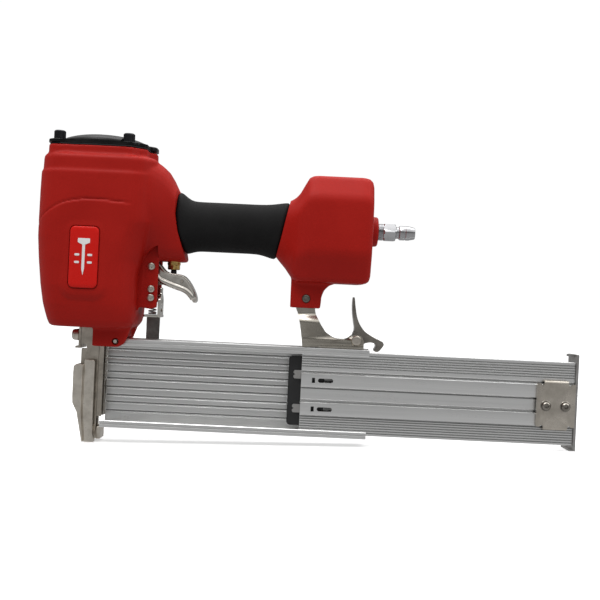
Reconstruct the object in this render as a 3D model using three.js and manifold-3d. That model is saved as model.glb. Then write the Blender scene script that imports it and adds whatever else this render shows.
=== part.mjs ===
// Pneumatic flooring nailer with a side-opening sliding magazine, standing on its nose foot
// and on the foot of the pulled-out magazine. Millimetres, +Z up, +X towards the rear,
// -Y is the side the magazine opens to. The driver axis is X = 0, Y = 0; the nose foot's tip is Z = 0.
import * as THREE from 'three';
import { mergeVertices } from 'three/addons/utils/BufferGeometryUtils.js';
import Module from 'manifold-3d';

// ---- driving dimensions ----
const GAP = 0.3; // clearance wherever two pieces touch
const SEG = 28; // facets round a full circle

const HEAD_TOP = 242; // seat of the cap gasket
const HEAD_FRONT = -46.4;
const HEAD_HALF = 43; // half width of the head in Y
const HEAD_BOTTOM = 95.5;
const BORE_R = 26;
const LINER_T = 2.4;
const LINER_R = BORE_R + LINER_T;
const LOWER_BORE_R = LINER_R + 0.6;
const CAVITY_R = LINER_R + 5.6; // air space round the liner
const VALVE_RIM = LINER_R + 2;
const STROKE = 80;

const CAP_BOLT_X = 28; // bolts stand this far from the cap's centre
const CAP_BOLT_Y = 29.5;
const CAP_X = -3;
const CAP_TOP = 254.8;
const CAP_FLANGE_T = 2.4;
const BOLT_HEAD_R = 4.7;
const BOLT_HEAD_H = 7.4;

const HANDLE_Z = 183;
const HANDLE_X0 = 64;
const HANDLE_X1 = 157;
const CORE_RY = 14.6;
const CORE_RZ = 17.6;
const GRIP_T = 3.0; // thickness of the rubber
const NECK_HALF = 17;
const AIR_R = 10.5; // air passage inside the handle

const CHAMBER_X1 = 225.3;
const CHAMBER_HALF = 37;
const INLET_Z = 185.7;

const EAR_IN = 8.3; // inner face of the trigger ears
const EAR_OUT = 13;
const TRIGGER_HALF = EAR_IN - 0.8;
const PIVOT = [45.2, 147.7];
const GUIDE_PINS = [[45.6, 129.1], [45.6, 121.9]];
const PIN_R = 2.2;
const EAR_X1 = 50.8;
const YOKE_X0 = EAR_X1 + 0.4;
const YOKE_T = 2.2;
const VALVE_X = 62;
const VALVE_R = 5.5;
const STEM_R = 2.45;
const STEM_BOTTOM = 140.1;

const MAG_Z0 = 13;
const MAG_Z1 = 87;
const MAG_NEAR = -13;
const MAG_FAR = 12;
const WALL = 2.1; // extrusion wall
const LIP_H = 5.8;
const RAIL_X0 = 7.8;
const RAIL_X1 = 228.6;

const COVER_X0 = 173;
const COVER_X1 = 399.5;
const COVER_Z0 = MAG_Z0 + WALL + 0.6;
const COVER_Z1 = MAG_Z1 - WALL - 0.4;
const COVER_OUT = MAG_NEAR + 1.8 + GAP; // outer face, just behind the lips
const COVER_T = 3;
const COVER_IN = COVER_OUT + COVER_T;
const RAISED = 2.5; // how far the two long beads stand out
const FLANGE_IN = COVER_IN + 2.9; // how far in the cover's top and bottom flanges reach
const F_X0 = COVER_X0 - 10.7; // front edge of the follower's wing
const F_Z0 = 21.5;
const F_Z1 = 79.2;
const PRESS = 8; // travel of the safety
const FOOT_IN = COVER_IN - 0.1; // inner face of the foot's near wall
const CLIP_T = 0.9;
const CLIP_Y0 = FOOT_IN + GAP;
const CLIP_Y1 = CLIP_Y0 + CLIP_T;
const WING_Y0 = CLIP_Y1 + GAP;
const WING_Y1 = WING_Y0 + 1.2;
const SLIDE = 170.6; // travel of the magazine cover

const GUIDE_HALF = 3.6; // nail channel half width in the nose
const GUIDE_TOP = 80.9;
const GUIDE_BOTTOM = 8.5;
const PLATE_T = 2.2; // sheet of the hanger bracket
const LATCH_PIVOT = [217.3, 94];

// ---- helpers ----
const wasm = await Module();
wasm.setup();

function toSolid(geometry) {
  const bare = geometry.clone();
  bare.deleteAttribute('normal');
  bare.deleteAttribute('uv');
  const merged = mergeVertices(bare, 1e-4);
  return new wasm.Manifold(new wasm.Mesh({
    numProp: 3,
    vertProperties: new Float32Array(merged.attributes.position.array),
    triVerts: new Uint32Array(merged.index.array),
  }));
}

function join(...geometries) {
  let total = toSolid(geometries[0]);
  for (const g of geometries.slice(1)) total = total.add(toSolid(g));
  return fromSolid(total);
}

function cut(base, ...tools) {
  let total = toSolid(base);
  for (const g of tools) total = total.subtract(toSolid(g));
  return fromSolid(total);
}

function fromSolid(solid) {
  const mesh = solid.getMesh();
  const geometry = new THREE.BufferGeometry();
  geometry.setAttribute('position', new THREE.BufferAttribute(new Float32Array(mesh.vertProperties), 3));
  geometry.setIndex(new THREE.BufferAttribute(new Uint32Array(mesh.triVerts), 1));
  return geometry;
}

function box(x0, x1, y0, y1, z0, z1) {
  const g = new THREE.BoxGeometry(x1 - x0, y1 - y0, z1 - z0);
  g.translate((x0 + x1) / 2, (y0 + y1) / 2, (z0 + z1) / 2);
  return g;
}

function shapeOf(points) {
  return new THREE.Shape(points.map(([a, b]) => new THREE.Vector2(a, b)));
}

function extrude(points, depth) {
  return new THREE.ExtrudeGeometry(shapeOf(points), { depth, bevelEnabled: false, curveSegments: 8 });
}

// outline in X,Z pushed along Y
function prismXZ(points, y0, y1) {
  const g = extrude(points, y1 - y0);
  g.rotateX(Math.PI / 2);
  g.translate(0, y1, 0);
  return g;
}

// outline in X,Y pushed along Z
function prismXY(points, z0, z1) {
  const g = extrude(points, z1 - z0);
  g.translate(0, 0, z0);
  return g;
}

// outline in Y,Z pushed along X
function prismYZ(points, x0, x1) {
  const g = extrude(points, x1 - x0);
  g.applyMatrix4(new THREE.Matrix4().set(0, 0, 1, 0, 1, 0, 0, 0, 0, 1, 0, 0, 0, 0, 0, 1));
  g.translate(x0, 0, 0);
  return g;
}

// turned piece: profile of [radius, height] pairs starting and ending on the axis, or closed
function turned(profile, segments = SEG) {
  const g = new THREE.LatheGeometry(profile.map(([r, h]) => new THREE.Vector2(r, h)), segments);
  g.rotateX(Math.PI / 2);
  return g;
}

function rod(r, h0, h1, segments = SEG) {
  return turned([[0, h0], [r, h0], [r, h1], [0, h1]], segments);
}

function ring(rIn, rOut, h0, h1, segments = SEG) {
  return turned([[rIn, h0], [rOut, h0], [rOut, h1], [rIn, h1], [rIn, h0]], segments);
}

function alongX(g, y = 0, z = 0) {
  g.rotateY(Math.PI / 2);
  g.translate(0, y, z);
  return g;
}

function alongY(g, x = 0, z = 0) {
  g.rotateX(-Math.PI / 2);
  g.translate(x, 0, z);
  return g;
}

function at(g, x, y, z = 0) {
  g.translate(x, y, z);
  return g;
}

// points of a rounded rectangle
function rounded(x0, x1, y0, y1, r, steps = 4) {
  const points = [];
  const corners = [[x1 - r, y1 - r, 0], [x0 + r, y1 - r, 1], [x0 + r, y0 + r, 2], [x1 - r, y0 + r, 3]];
  for (const [cx, cy, quarter] of corners) {
    for (let i = 0; i <= steps; i += 1) {
      const a = (quarter + i / steps) * Math.PI / 2;
      points.push([cx + r * Math.cos(a), cy + r * Math.sin(a)]);
    }
  }
  return points;
}

// skin over a stack of rings with equal point counts; each ring is a list of [x, y, z], wound
// anticlockwise seen from the last ring's side
function loft(rings) {
  const n = rings[0].length;
  const vertices = rings.flat(2);
  const faces = [];
  for (let k = 0; k + 1 < rings.length; k += 1) {
    for (let i = 0; i < n; i += 1) {
      const j = (i + 1) % n;
      faces.push(k * n + i, k * n + j, (k + 1) * n + j, k * n + i, (k + 1) * n + j, (k + 1) * n + i);
    }
  }
  const last = (rings.length - 1) * n;
  for (let i = 1; i + 1 < n; i += 1) {
    faces.push(0, i + 1, i);
    faces.push(last, last + i, last + i + 1);
  }
  const g = new THREE.BufferGeometry();
  g.setAttribute('position', new THREE.BufferAttribute(new Float32Array(vertices), 3));
  g.setIndex(faces);
  return g;
}

// loft upwards from rows of [z, x0, x1, half width, corner radius]
function loftZ(rows) {
  return loft(rows.map(([z, x0, x1, half, r]) => (
    rounded(x0, x1, -half, half, r).map(([x, y]) => [x, y, z])
  )));
}

// loft along X from rows of [x, half Y, half Z, centre Z] as ellipses
function loftX(rows, segments = 24) {
  return loft(rows.map(([x, ry, rz, cz]) => {
    const points = [];
    for (let i = 0; i < segments; i += 1) {
      const a = (i / segments) * Math.PI * 2;
      points.push([x, ry * Math.cos(a), cz + rz * Math.sin(a)]);
    }
    return points;
  }));
}

const group = new THREE.Group();
group.name = 'flooring_nailer';

const LOOKS = {
  red_casting: { color: 0x931813, roughness: 0.55, metalness: 0.1 },
  black_casting: { color: 0x101010, roughness: 0.3, metalness: 0.1 },
  rubber: { color: 0x161616, roughness: 0.85, metalness: 0 },
  black_plastic: { color: 0x141414, roughness: 0.5, metalness: 0 },
  black_steel: { color: 0x1c1c1e, roughness: 0.4, metalness: 0.8 },
  steel: { color: 0x9a9a9a, roughness: 0.35, metalness: 1 },
  chrome: { color: 0xc8c8cc, roughness: 0.1, metalness: 1 },
  aluminium: { color: 0xa9abad, roughness: 0.4, metalness: 1 },
  brass: { color: 0xb08a3e, roughness: 0.3, metalness: 1 },
  badge_red: { color: 0xcc1e1c, roughness: 0.35, metalness: 0 },
};

function add(name, look, geometry) {
  const clean = mergeVertices(stripped(geometry), 1e-4);
  clean.computeVertexNormals();
  const material = new THREE.MeshStandardMaterial({ ...LOOKS[look], name: look });
  const mesh = new THREE.Mesh(clean, material);
  mesh.name = name;
  group.add(mesh);
}

function stripped(geometry) {
  const bare = geometry.clone();
  bare.deleteAttribute('normal');
  bare.deleteAttribute('uv');
  return bare;
}

// ---- main casting ----
const headRows = [
  [HEAD_BOTTOM, HEAD_FRONT + 11.4, 29.5, 33, 16],
  [99, HEAD_FRONT + 10.1, 33.5, 35, 17],
  [114, HEAD_FRONT + 6, 35.4, 37.5, 18],
  [129, HEAD_FRONT + 3.6, 35.8, 39, 19],
  [150, HEAD_FRONT + 1.4, 36.5, 41, 20],
  [168, HEAD_FRONT, 42, 42, 22],
  [182, HEAD_FRONT, 48, HEAD_HALF, 23],
  [225, HEAD_FRONT + 0.8, 49, HEAD_HALF, 23],
  [231.5, HEAD_FRONT + 2.2, 48.4, HEAD_HALF - 0.8, 22],
  [234, HEAD_FRONT + 5, 46.5, HEAD_HALF - 3, 20],
];
const flangePlan = rounded(CAP_X - 37, CAP_X + 43, -38, 38, 17);
const lobePlan = rounded(20, CAP_X + 47.4, -11, 11, 8);
const head = join(loftZ(headRows), prismXY(flangePlan, 230, HEAD_TOP), prismXY(lobePlan, 230, HEAD_TOP));
const neckOutline = [
  [20, 233.5], [48.6, 233.5], [53.9, 229.5], [59.4, 219.5], [64.5, 210], [68, 205],
  [72, 202], [72, 163], [73, 160], [73, 152.3], [49, 152.3], [34, 158], [20, 165],
];
const neck = prismXZ(neckOutline, -NECK_HALF, NECK_HALF);
// side view of the space the rubber grip fills between the neck and the chamber
const gripSide = (play) => [
  [64.3 - play, 216], [64 - play, 205], [63.6 - play, 192], [66 - play, 178], [69.9 - play, 165],
  [73.3 - play, 154],
  [145.6 + play, 154], [151 + play, 176], [157.2 + play, 206], [158.8 + play, 216],
].reverse();
const core = loftX([[55, CORE_RY, CORE_RZ, HANDLE_Z], [HANDLE_X1 + 12, CORE_RY, CORE_RZ, HANDLE_Z]]);
// rear chamber: rows of [x, half width, bottom, top], squarer than an ellipse
const chamberRows = [
  [143, 16.4, 163.5, 202.5], [150, 18.5, 158.4, 205.5], [156, 22.5, 151, 207], [161, 28, 143, 210],
  [167, 33, 140.7, 216], [173, 36, 140.7, 227], [178, CHAMBER_HALF, 140.7, 230],
  [214, CHAMBER_HALF, 140.7, 230],
  [221, CHAMBER_HALF - 3, 143, 226.5], [CHAMBER_X1, CHAMBER_HALF - 8, 149, 220],
];
function squared(x, half, z0, z1, power, segments = 32) {
  const points = [];
  for (let i = 0; i < segments; i += 1) {
    const a = (i / segments) * Math.PI * 2;
    const y = half * Math.sign(Math.cos(a)) * Math.abs(Math.cos(a)) ** (2 / power);
    const z = ((z1 - z0) / 2) * Math.sign(Math.sin(a)) * Math.abs(Math.sin(a)) ** (2 / power);
    points.push([x, y, (z0 + z1) / 2 + z]);
  }
  return points;
}
const chamber = loft(chamberRows.map(([x, half, z0, z1], i) => (
  squared(x, half, z0, z1, Math.min(2 + i * 0.25, 3))
)));
const POST_HALF = 13;
const TONGUE_OUT = 10;
const postOutline = [[161, 119.3], [161, 150], [187, 150], [186, 119.3]];
const post = prismXZ(postOutline, -POST_HALF, POST_HALF);
const inletBoss = alongX(rod(12.5, 215, 231.5), 0, INLET_Z);
const earOutline = [
  [25, 116], [35, 114], [40, 112.6], [47, 113], [EAR_X1, 116], [EAR_X1, 160], [25, 170],
];
const nearEar = prismXZ(earOutline, -EAR_OUT, -EAR_IN);
const farEarOutline = earOutline.map(([x, z]) => [x, Math.max(z, 117.5)]);
const farEar = prismXZ(farEarOutline, EAR_IN, EAR_OUT);
const cheekOutline = [[0, 80], [23, 80], [26, 99], [0, 99]];
const nearCheek = prismXZ(cheekOutline, -18, MAG_NEAR - 0.4);
const farCheek = prismXZ(cheekOutline, MAG_FAR + 0.4, 18);
const neckBlock = box(7.7, 25, -18, 18, MAG_Z1 + GAP, 99);
const badgePad = prismXZ(rounded(-17.2, 8.8, 125.5, 178, 5), -HEAD_HALF - 1.2, -36);
const bosses = [];
for (const sx of [-1, 1]) {
  for (const sy of [-1, 1]) {
    bosses.push(at(rod(8, 200, HEAD_TOP), CAP_X + sx * CAP_BOLT_X, sy * CAP_BOLT_Y));
  }
}
const gripSpace = prismXZ(gripSide(GAP), -30, 30);
const outside = join(
  cut(join(head, neck), gripSpace), core, cut(chamber, gripSpace), post, inletBoss,
  nearEar, farEar, nearCheek, farCheek, neckBlock, badgePad,
  ...bosses,
);
const SKIN = 6; // wall of the head casting
const cavityRows = headRows.slice(2, 8).map(([z, x0, x1, half, r]) => (
  [z, x0 + SKIN, x1 - SKIN, half - SKIN, r - SKIN]
));
const cavity = cut(
  join(loftZ(cavityRows), rod(CAVITY_R, 165, HEAD_TOP + 5, 36), rod(LOWER_BORE_R, 108, 116, 36)),
  ...bosses,
);
const voidRows = chamberRows.slice(4, 9).map(([x, half, z0, z1]) => [x, half - SKIN, z0 + SKIN, z1 - SKIN]);
const chamberVoid = loft(voidRows.map(([x, half, z0, z1]) => squared(x, half, z0, z1, 3)));
const boltHoles = [];
for (const sx of [-1, 1]) {
  for (const sy of [-1, 1]) {
    boltHoles.push(at(rod(3.3, HEAD_TOP - 22, HEAD_TOP + 5, 16), CAP_X + sx * CAP_BOLT_X, sy * CAP_BOLT_Y));
  }
}
const casting = cut(
  outside,
  cavity,
  rod(6.5, 80, 110, 20),
  alongX(rod(AIR_R, 30, 170), 0, HANDLE_Z),
  chamberVoid,
  alongX(rod(6.1, 210, 240, 20), 0, INLET_Z),
  at(rod(VALVE_R + GAP, 150, 178, 20), VALVE_X, 0),
  alongY(rod(PIN_R + GAP, -20, 20, 16), ...PIVOT),
  ...GUIDE_PINS.map(([x, z]) => alongY(rod(PIN_R + GAP, -20, 20, 16), x, z)),
  alongY(rod(3.3, -20, 20, 16), 174, 127),
  alongY(rod(1.8, -20, 20, 12), 19, 84.6),
  box(162.6, 184.4, -TONGUE_OUT - GAP, TONGUE_OUT + GAP, 110, 135),
  ...boltHoles,
);
add('body_casting', 'red_casting', casting);

// ---- cap group ----
const capFlange0 = HEAD_TOP + 1.4;
const gasket = cut(
  prismXY(flangePlan, HEAD_TOP + GAP, HEAD_TOP + 1.1),
  rod(CAVITY_R, HEAD_TOP - 5, HEAD_TOP + 5, 36),
  ...boltHoles.map((h) => at(h.clone(), 0, 0, 4)),
);
add('cap_gasket', 'rubber', gasket);
const dome = turned([
  [0, capFlange0], [36, capFlange0], [36.8, CAP_TOP - 8.2], [35.8, CAP_TOP - 6.4], [33, CAP_TOP - 4.6],
  [28, CAP_TOP - 2.9], [22, CAP_TOP - 1.6], [14, CAP_TOP - 0.5], [6, CAP_TOP], [0, CAP_TOP],
], 36);
const capBoltSeat = capFlange0 + CAP_FLANGE_T;
const capCeiling = CAP_TOP - 4.6;
const cap = cut(
  join(
    prismXY(flangePlan, capFlange0, capBoltSeat),
    prismXY(lobePlan, capFlange0, capBoltSeat + 1.2),
    dome,
  ),
  turned([
    [0, capFlange0 - 2], [31, capFlange0 - 2], [31, capCeiling - 4.2], [26, capCeiling - 1],
    [20, capCeiling],
    [0, capCeiling],
  ], 36),
  ...boltHoles.map((h) => at(h.clone(), 0, 0, 12)),
  ...[-1, 1].flatMap((sx) => [-1, 1].map((sy) => (
    at(rod(BOLT_HEAD_R + 1.3, capBoltSeat, CAP_TOP + 5, 20), CAP_X + sx * CAP_BOLT_X, sy * CAP_BOLT_Y)
  ))),
);
add('cylinder_cap', 'black_casting', cap);
let boltCount = 0;
for (const sx of [-1, 1]) {
  for (const sy of [-1, 1]) {
    boltCount += 1;
    const seat = capBoltSeat + GAP;
    const screw = cut(
      join(rod(BOLT_HEAD_R, seat, seat + BOLT_HEAD_H, 20), rod(2.95, HEAD_TOP - 20, seat + 1, 16)),
      rod(2.6, seat + 3.5, seat + 12, 6),
    );
    add(`cap_bolt_${boltCount}`, 'black_steel', at(screw, CAP_X + sx * CAP_BOLT_X, sy * CAP_BOLT_Y));
  }
}

// ---- cylinder, piston and head valve ----
const LINER_TOP = 238.5;
const LINER_BOTTOM = 108.4;
const ports = [];
for (let i = 0; i < 6; i += 1) {
  const port = alongX(rod(2.2, BORE_R - 4, LINER_R + 4, 8), 0, 150);
  port.rotateZ(((i + 0.5) / 6) * Math.PI * 2);
  ports.push(port);
}
add('cylinder_liner', 'aluminium', cut(ring(BORE_R, LINER_R, LINER_BOTTOM, LINER_TOP, 36), ...ports));
const BUMPER_TOP = 132.5;
add('piston_bumper', 'rubber', turned([
  [7, LINER_BOTTOM], [BORE_R - GAP, LINER_BOTTOM], [BORE_R - GAP, 121], [BORE_R - 4, BUMPER_TOP - 2],
  [17, BUMPER_TOP], [7, BUMPER_TOP], [7, LINER_BOTTOM],
]));
const PISTON_LOW = BUMPER_TOP + GAP + STROKE;
const PISTON_R = BORE_R - 0.2;
const pistonBody = turned([
  [0, PISTON_LOW], [9, PISTON_LOW], [12, PISTON_LOW + 4], [PISTON_R, PISTON_LOW + 6],
  [PISTON_R, PISTON_LOW + 10],
  [PISTON_R - 3, PISTON_LOW + 10], [PISTON_R - 3, PISTON_LOW + 14], [PISTON_R, PISTON_LOW + 14],
  [PISTON_R, PISTON_LOW + 18], [0, PISTON_LOW + 18],
]);
add('piston', 'aluminium', cut(pistonBody, box(-2, 2, -3.7, 3.7, PISTON_LOW - 2, PISTON_LOW + 9)));
add('piston_ring', 'rubber', ring(PISTON_R - 2.7, PISTON_R, PISTON_LOW + 10.3, PISTON_LOW + 13.7));
const BLADE_TIP = 82.6;
add('driver_blade', 'steel', box(-1.6, 1.6, -3.3, 3.3, BLADE_TIP, PISTON_LOW + 8.6));
const valveLow = LINER_TOP + GAP;
const VALVE_T = 4;
add('head_valve', 'black_plastic', turned([
  [0, valveLow + 1.6], [BORE_R - 2, valveLow + 1.6], [BORE_R - 1, valveLow], [VALVE_RIM, valveLow],
  [VALVE_RIM, valveLow + 2.4], [VALVE_RIM - 4.4, valveLow + VALVE_T], [0, valveLow + VALVE_T],
]));
add('head_valve_spring', 'steel', ring(14, 16.5, valveLow + VALVE_T + GAP, capCeiling - GAP));

// ---- grip, plug, badge ----
const grow = GRIP_T + GAP;
const gripRows = [
  [60, NECK_HALF + 2.6, 27, 187], [66, NECK_HALF + 2, 25, 185.5], [74, CORE_RY + grow + 0.6, 22.3, 183.2],
  [88, CORE_RY + grow, CORE_RZ + grow, HANDLE_Z], [130, CORE_RY + grow, CORE_RZ + grow, HANDLE_Z],
  [142, CORE_RY + grow + 0.5, 22, 182.6], [150, CORE_RY + grow + 1.2, 23, 182.4],
  [160, CORE_RY + grow + 2.4, 24.6, 183.5],
];
const gripCore = loftX([60, 175].map((x) => [x, CORE_RY + GAP, CORE_RZ + GAP, HANDLE_Z]));
const beyondGrip = cut(
  prismXZ([[50, 140], [170, 140], [170, 230], [50, 230]], -40, 40),
  prismXZ(gripSide(0), -41, 41),
);
add('rubber_grip', 'rubber', cut(loftX(gripRows), gripCore, beyondGrip));
const hexNut = at(rod(7.6, 0, 10.4, 6), 0, 0, 235.8);
const plugBody = join(
  turned([[0, 222], [5.8, 222], [5.8, 231.8], [7.2, 231.8], [7.2, 236], [0, 236]]),
  hexNut,
  turned([[0, 246], [5, 246], [5, 249.4], [6, 250], [6, 257], [4.9, 262.6], [0, 262.6]]),
);
add('air_plug', 'chrome', alongX(cut(plugBody, rod(2.8, 215, 270, 16)), 0, INLET_Z));
const badgeY = -HEAD_HALF - 1.2 - GAP;
add('badge_plate', 'badge_red', prismXZ(rounded(-15.6, 7.2, 127.2, 176.2, 4), badgeY - 1.4, badgeY));

// ---- trigger group ----
add('trigger_valve', 'brass', at(turned([
  [2.8, 146], [VALVE_R, 146], [VALVE_R, 172], [2.8, 172], [2.8, 146],
], 20), VALVE_X, 0));
add('valve_stem', 'black_steel', at(turned([
  [0, STEM_BOTTOM], [STEM_R, STEM_BOTTOM], [STEM_R, 172.4], [4.6, 172.4], [4.6, 174.6], [0, 174.6],
], 20), VALVE_X, 0));
const triggerOutline = [
  [41.2, 149.2], [42.6, 151.6], [45.1, 152.3], [48, 152], [50.6, 150.3], [54.9, 145.3], [58, 143.6],
  [63.1, 143],
  [70.6, 142.1], [75.9, 137.3], [80.5, 129.9], [82.9, 124.2], [82.7, 120.4], [81, 119],
  [79.6, 119.6], [78.3, 122.3], [73.1, 127], [63.7, 130], [55.5, 131.7], [51.8, 138.5], [49, 142],
  [45.1, 143.2], [42.6, 144], [41.2, 146.2],
].reverse();
const channelOutline = [
  [30, 160], [30, 120], [57, 120], [57, 132.9], [66, 131.2], [73.5, 129.2], [74, 160],
].reverse();
const TRIP_PIN = [70, 136.5];
const trigger = cut(
  prismXZ(triggerOutline, -TRIGGER_HALF, TRIGGER_HALF),
  prismXZ(channelOutline, -4.6, 4.6),
  alongY(rod(PIN_R + GAP, -20, 20, 16), ...PIVOT),
  alongY(rod(1.4, -20, 20, 12), ...TRIP_PIN),
);
add('trigger', 'chrome', trigger);
const headedPin = (r, half, headR) => (
  join(rod(r, -half, half, 16), rod(headR, -half - 1.6, -half + 0.1, 20))
);
add('trigger_pin', 'steel', alongY(headedPin(PIN_R, EAR_OUT + GAP, 3), ...PIVOT));
GUIDE_PINS.forEach(([x, z], i) => {
  add(`guide_pin_${i + 1}`, 'steel', alongY(headedPin(PIN_R, EAR_OUT + GAP, 3), x, z));
});
add('trip_pin', 'steel', alongY(rod(1.2, -7, 7, 12), ...TRIP_PIN));
const tripOutline = [
  [48.2, 132.6], [48.2, 134.6], [67.5, 137.4], [72.2, 138.6], [72.4, 134.4], [68, 134.6],
].reverse();
add('trip_lever', 'steel', cut(prismXZ(tripOutline, -3.8, 3.8), alongY(rod(1.4, -20, 20, 12), ...TRIP_PIN)));

// ---- safety: yoke, link and foot ----
const FLANGE_TOP = 107.6;
const TONGUE_TOP = 130.6; // just under the trip lever, which it lifts
const yokeFace = cut(
  prismYZ([
    [-10, 105.6], [10, 105.6], [10, 120.5], [7, 123.8], [4, 125.6], [4, TONGUE_TOP], [-4, TONGUE_TOP],
    [-4, 125.6], [-7, 123.8], [-10, 120.5],
  ], YOKE_X0, YOKE_X0 + YOKE_T),
  box(YOKE_X0 - 2, YOKE_X0 + 5, -5.5, -2.5, 116.5, 121.8),
  box(YOKE_X0 - 2, YOKE_X0 + 5, 2.5, 5.5, 116.5, 121.8),
);
add('safety_yoke', 'chrome', join(yokeFace, box(38.6, YOKE_X0 + YOKE_T, -8, 15, 105.6, FLANGE_TOP)));
const springSeat = GUIDE_PINS[1][1] - PIN_R - GAP;
add('safety_spring', 'steel', at(ring(2.4, 3.6, FLANGE_TOP + GAP, springSeat, 16), GUIDE_PINS[1][0], 0));
const LINK_IN = MAG_FAR + GAP;
const linkOutline = [
  [39.2, 105.3], [50.2, 105.3], [50.2, 46], [43, 38.5], [-6, 38.5], [-12, 42], [-12, 50], [33, 50],
  [39.2, 56],
].reverse();
add('safety_link', 'black_steel', join(
  prismXZ(linkOutline, LINK_IN, LINK_IN + 2.5),
  prismXZ([[43.2, 58], [46.2, 58], [46.2, 103], [43.2, 103]], LINK_IN + 2, LINK_IN + 3.4),
));
const FOOT_NEAR = -12;
const FOOT_FRONT = -15.8;
const COVER_CLOSED = COVER_X0 - SLIDE; // where the cover's front edge stops when it is shut
const footOutline = [
  [-6.6, 0], [3.4, 0], [3.4, 3], [COVER_CLOSED - GAP, 7.2], [1.7, 30], [1.7, 66.6], [0, 68.3], [-6.7, 68.3],
  [-7.5, 64], [-14.2, 64],
  [FOOT_FRONT, 62], [FOOT_FRONT + 0.3, 32.1], [-11.7, 24.7],
];
const footBlock = join(
  prismXZ(footOutline, FOOT_NEAR, MAG_FAR),
  box(1, 7.4, FLANGE_IN + GAP, MAG_FAR, 2, 12.3),
);
const foot = cut(
  footBlock,
  box(-9.2, 12, FOOT_IN, 8.3, 24.9, 80),
  box(F_X0 - SLIDE - GAP, 12, FOOT_IN, 8.3, F_Z0 - PRESS - GAP, 25.4),
  box(-4.8, 3.7, -5.2, 8.3, -5, 25.4),
  box(-12.1, -9, -3.2, 3.2, 24.9, 80),
);
add('safety_foot', 'steel', foot);

// ---- nose ----
const FRONT_PLATE_X = -12.2;
const SCREW_SEAT = FRONT_PLATE_X - GAP;
add('nose_base', 'steel', cut(
  box(-10.1, 7.4, -12.6, 12, 81.2, 95.1),
  box(COVER_CLOSED - GAP, 8, -20, FLANGE_IN + GAP, 80, COVER_Z1 + GAP),
  box(-2, 2, -3.8, 3.8, 70, 100),
  alongX(rod(2.8, -20, 5.5, 16), -7.5, 88.4),
  alongX(rod(2.8, -20, 5.5, 16), 7.5, 88.4),
));
add('front_plate', 'steel', cut(
  join(
    box(FRONT_PLATE_X, -10.4, -12.6, 12, 77.6, 94.7),
    box(FRONT_PLATE_X - 2.6, -11, -12.6, 12, 77.6, 79.2),
  ),
  alongX(rod(2.8, -20, 5.5, 16), -7.5, 88.4),
  alongX(rod(2.8, -20, 5.5, 16), 7.5, 88.4),
));
[-7.5, 7.5].forEach((y, i) => {
  const bolt = turned([
    [0, SCREW_SEAT - 6], [2.4, SCREW_SEAT - 5.7], [4, SCREW_SEAT - 4.4], [4.7, SCREW_SEAT - 2.2],
    [4.7, SCREW_SEAT],
    [2.5, SCREW_SEAT], [2.5, 5], [0, 5],
  ], 20);
  const socket = rod(1.6, SCREW_SEAT - 10, SCREW_SEAT - 3.6, 6);
  add(`nose_bolt_${i + 1}`, 'steel', alongX(cut(bolt, socket), y, 88.4));
});
add('nose_guide', 'steel', cut(
  join(
    box(-6.9, 3.4, -4.9, 8, 33, GUIDE_TOP),
    box(-4.5, 3.4, -4.9, 8, GUIDE_BOTTOM, 34),
    box(-11.7, -6, -2.8, 2.8, 33.3, GUIDE_TOP - 4),
  ),
  box(-1.9, 10, -GUIDE_HALF, GUIDE_HALF, 0, 100),
));
add('feed_gate', 'steel', cut(
  box(3.7, 7.5, -4.7, MAG_FAR, 21, GUIDE_TOP),
  box(0, 10, -GUIDE_HALF, GUIDE_HALF, 10, 80.3),
));
add('neck_pin', 'steel', alongY(rod(1.5, MAG_FAR + 0.5, 18.4, 12), 19, 84.6));
add('neck_pin_near', 'steel', alongY(rod(1.5, -18.4, MAG_NEAR - 0.5, 12), 19, 84.6));

// ---- magazine ----
const innerTop = MAG_Z1 - WALL;
const innerBottom = MAG_Z0 + WALL + GAP;
const wallY = MAG_FAR - 2.6;
const grooveDepths = [9.7, 22, 34.8, 48.9, 62];
const farWall = [];
for (const depth of grooveDepths) {
  const z = MAG_Z1 - depth;
  farWall.push([wallY, z + 0.8], [wallY + 0.9, z + 0.8], [wallY + 0.9, z - 0.8], [wallY, z - 0.8]);
}
const railSection = [
  [MAG_NEAR, MAG_Z0], [MAG_FAR, MAG_Z0], [MAG_FAR, MAG_Z1], [MAG_NEAR, MAG_Z1], [MAG_NEAR, MAG_Z1 - LIP_H],
  [MAG_NEAR + 1.8, MAG_Z1 - LIP_H], [MAG_NEAR + 1.8, innerTop], [wallY, innerTop],
  ...farWall, [wallY, innerBottom],
  [MAG_NEAR + 1.8, innerBottom], [MAG_NEAR + 1.8, MAG_Z0 + LIP_H], [MAG_NEAR, MAG_Z0 + LIP_H],
];
add('magazine_rail', 'aluminium', prismYZ(railSection, RAIL_X0, RAIL_X1));

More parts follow.
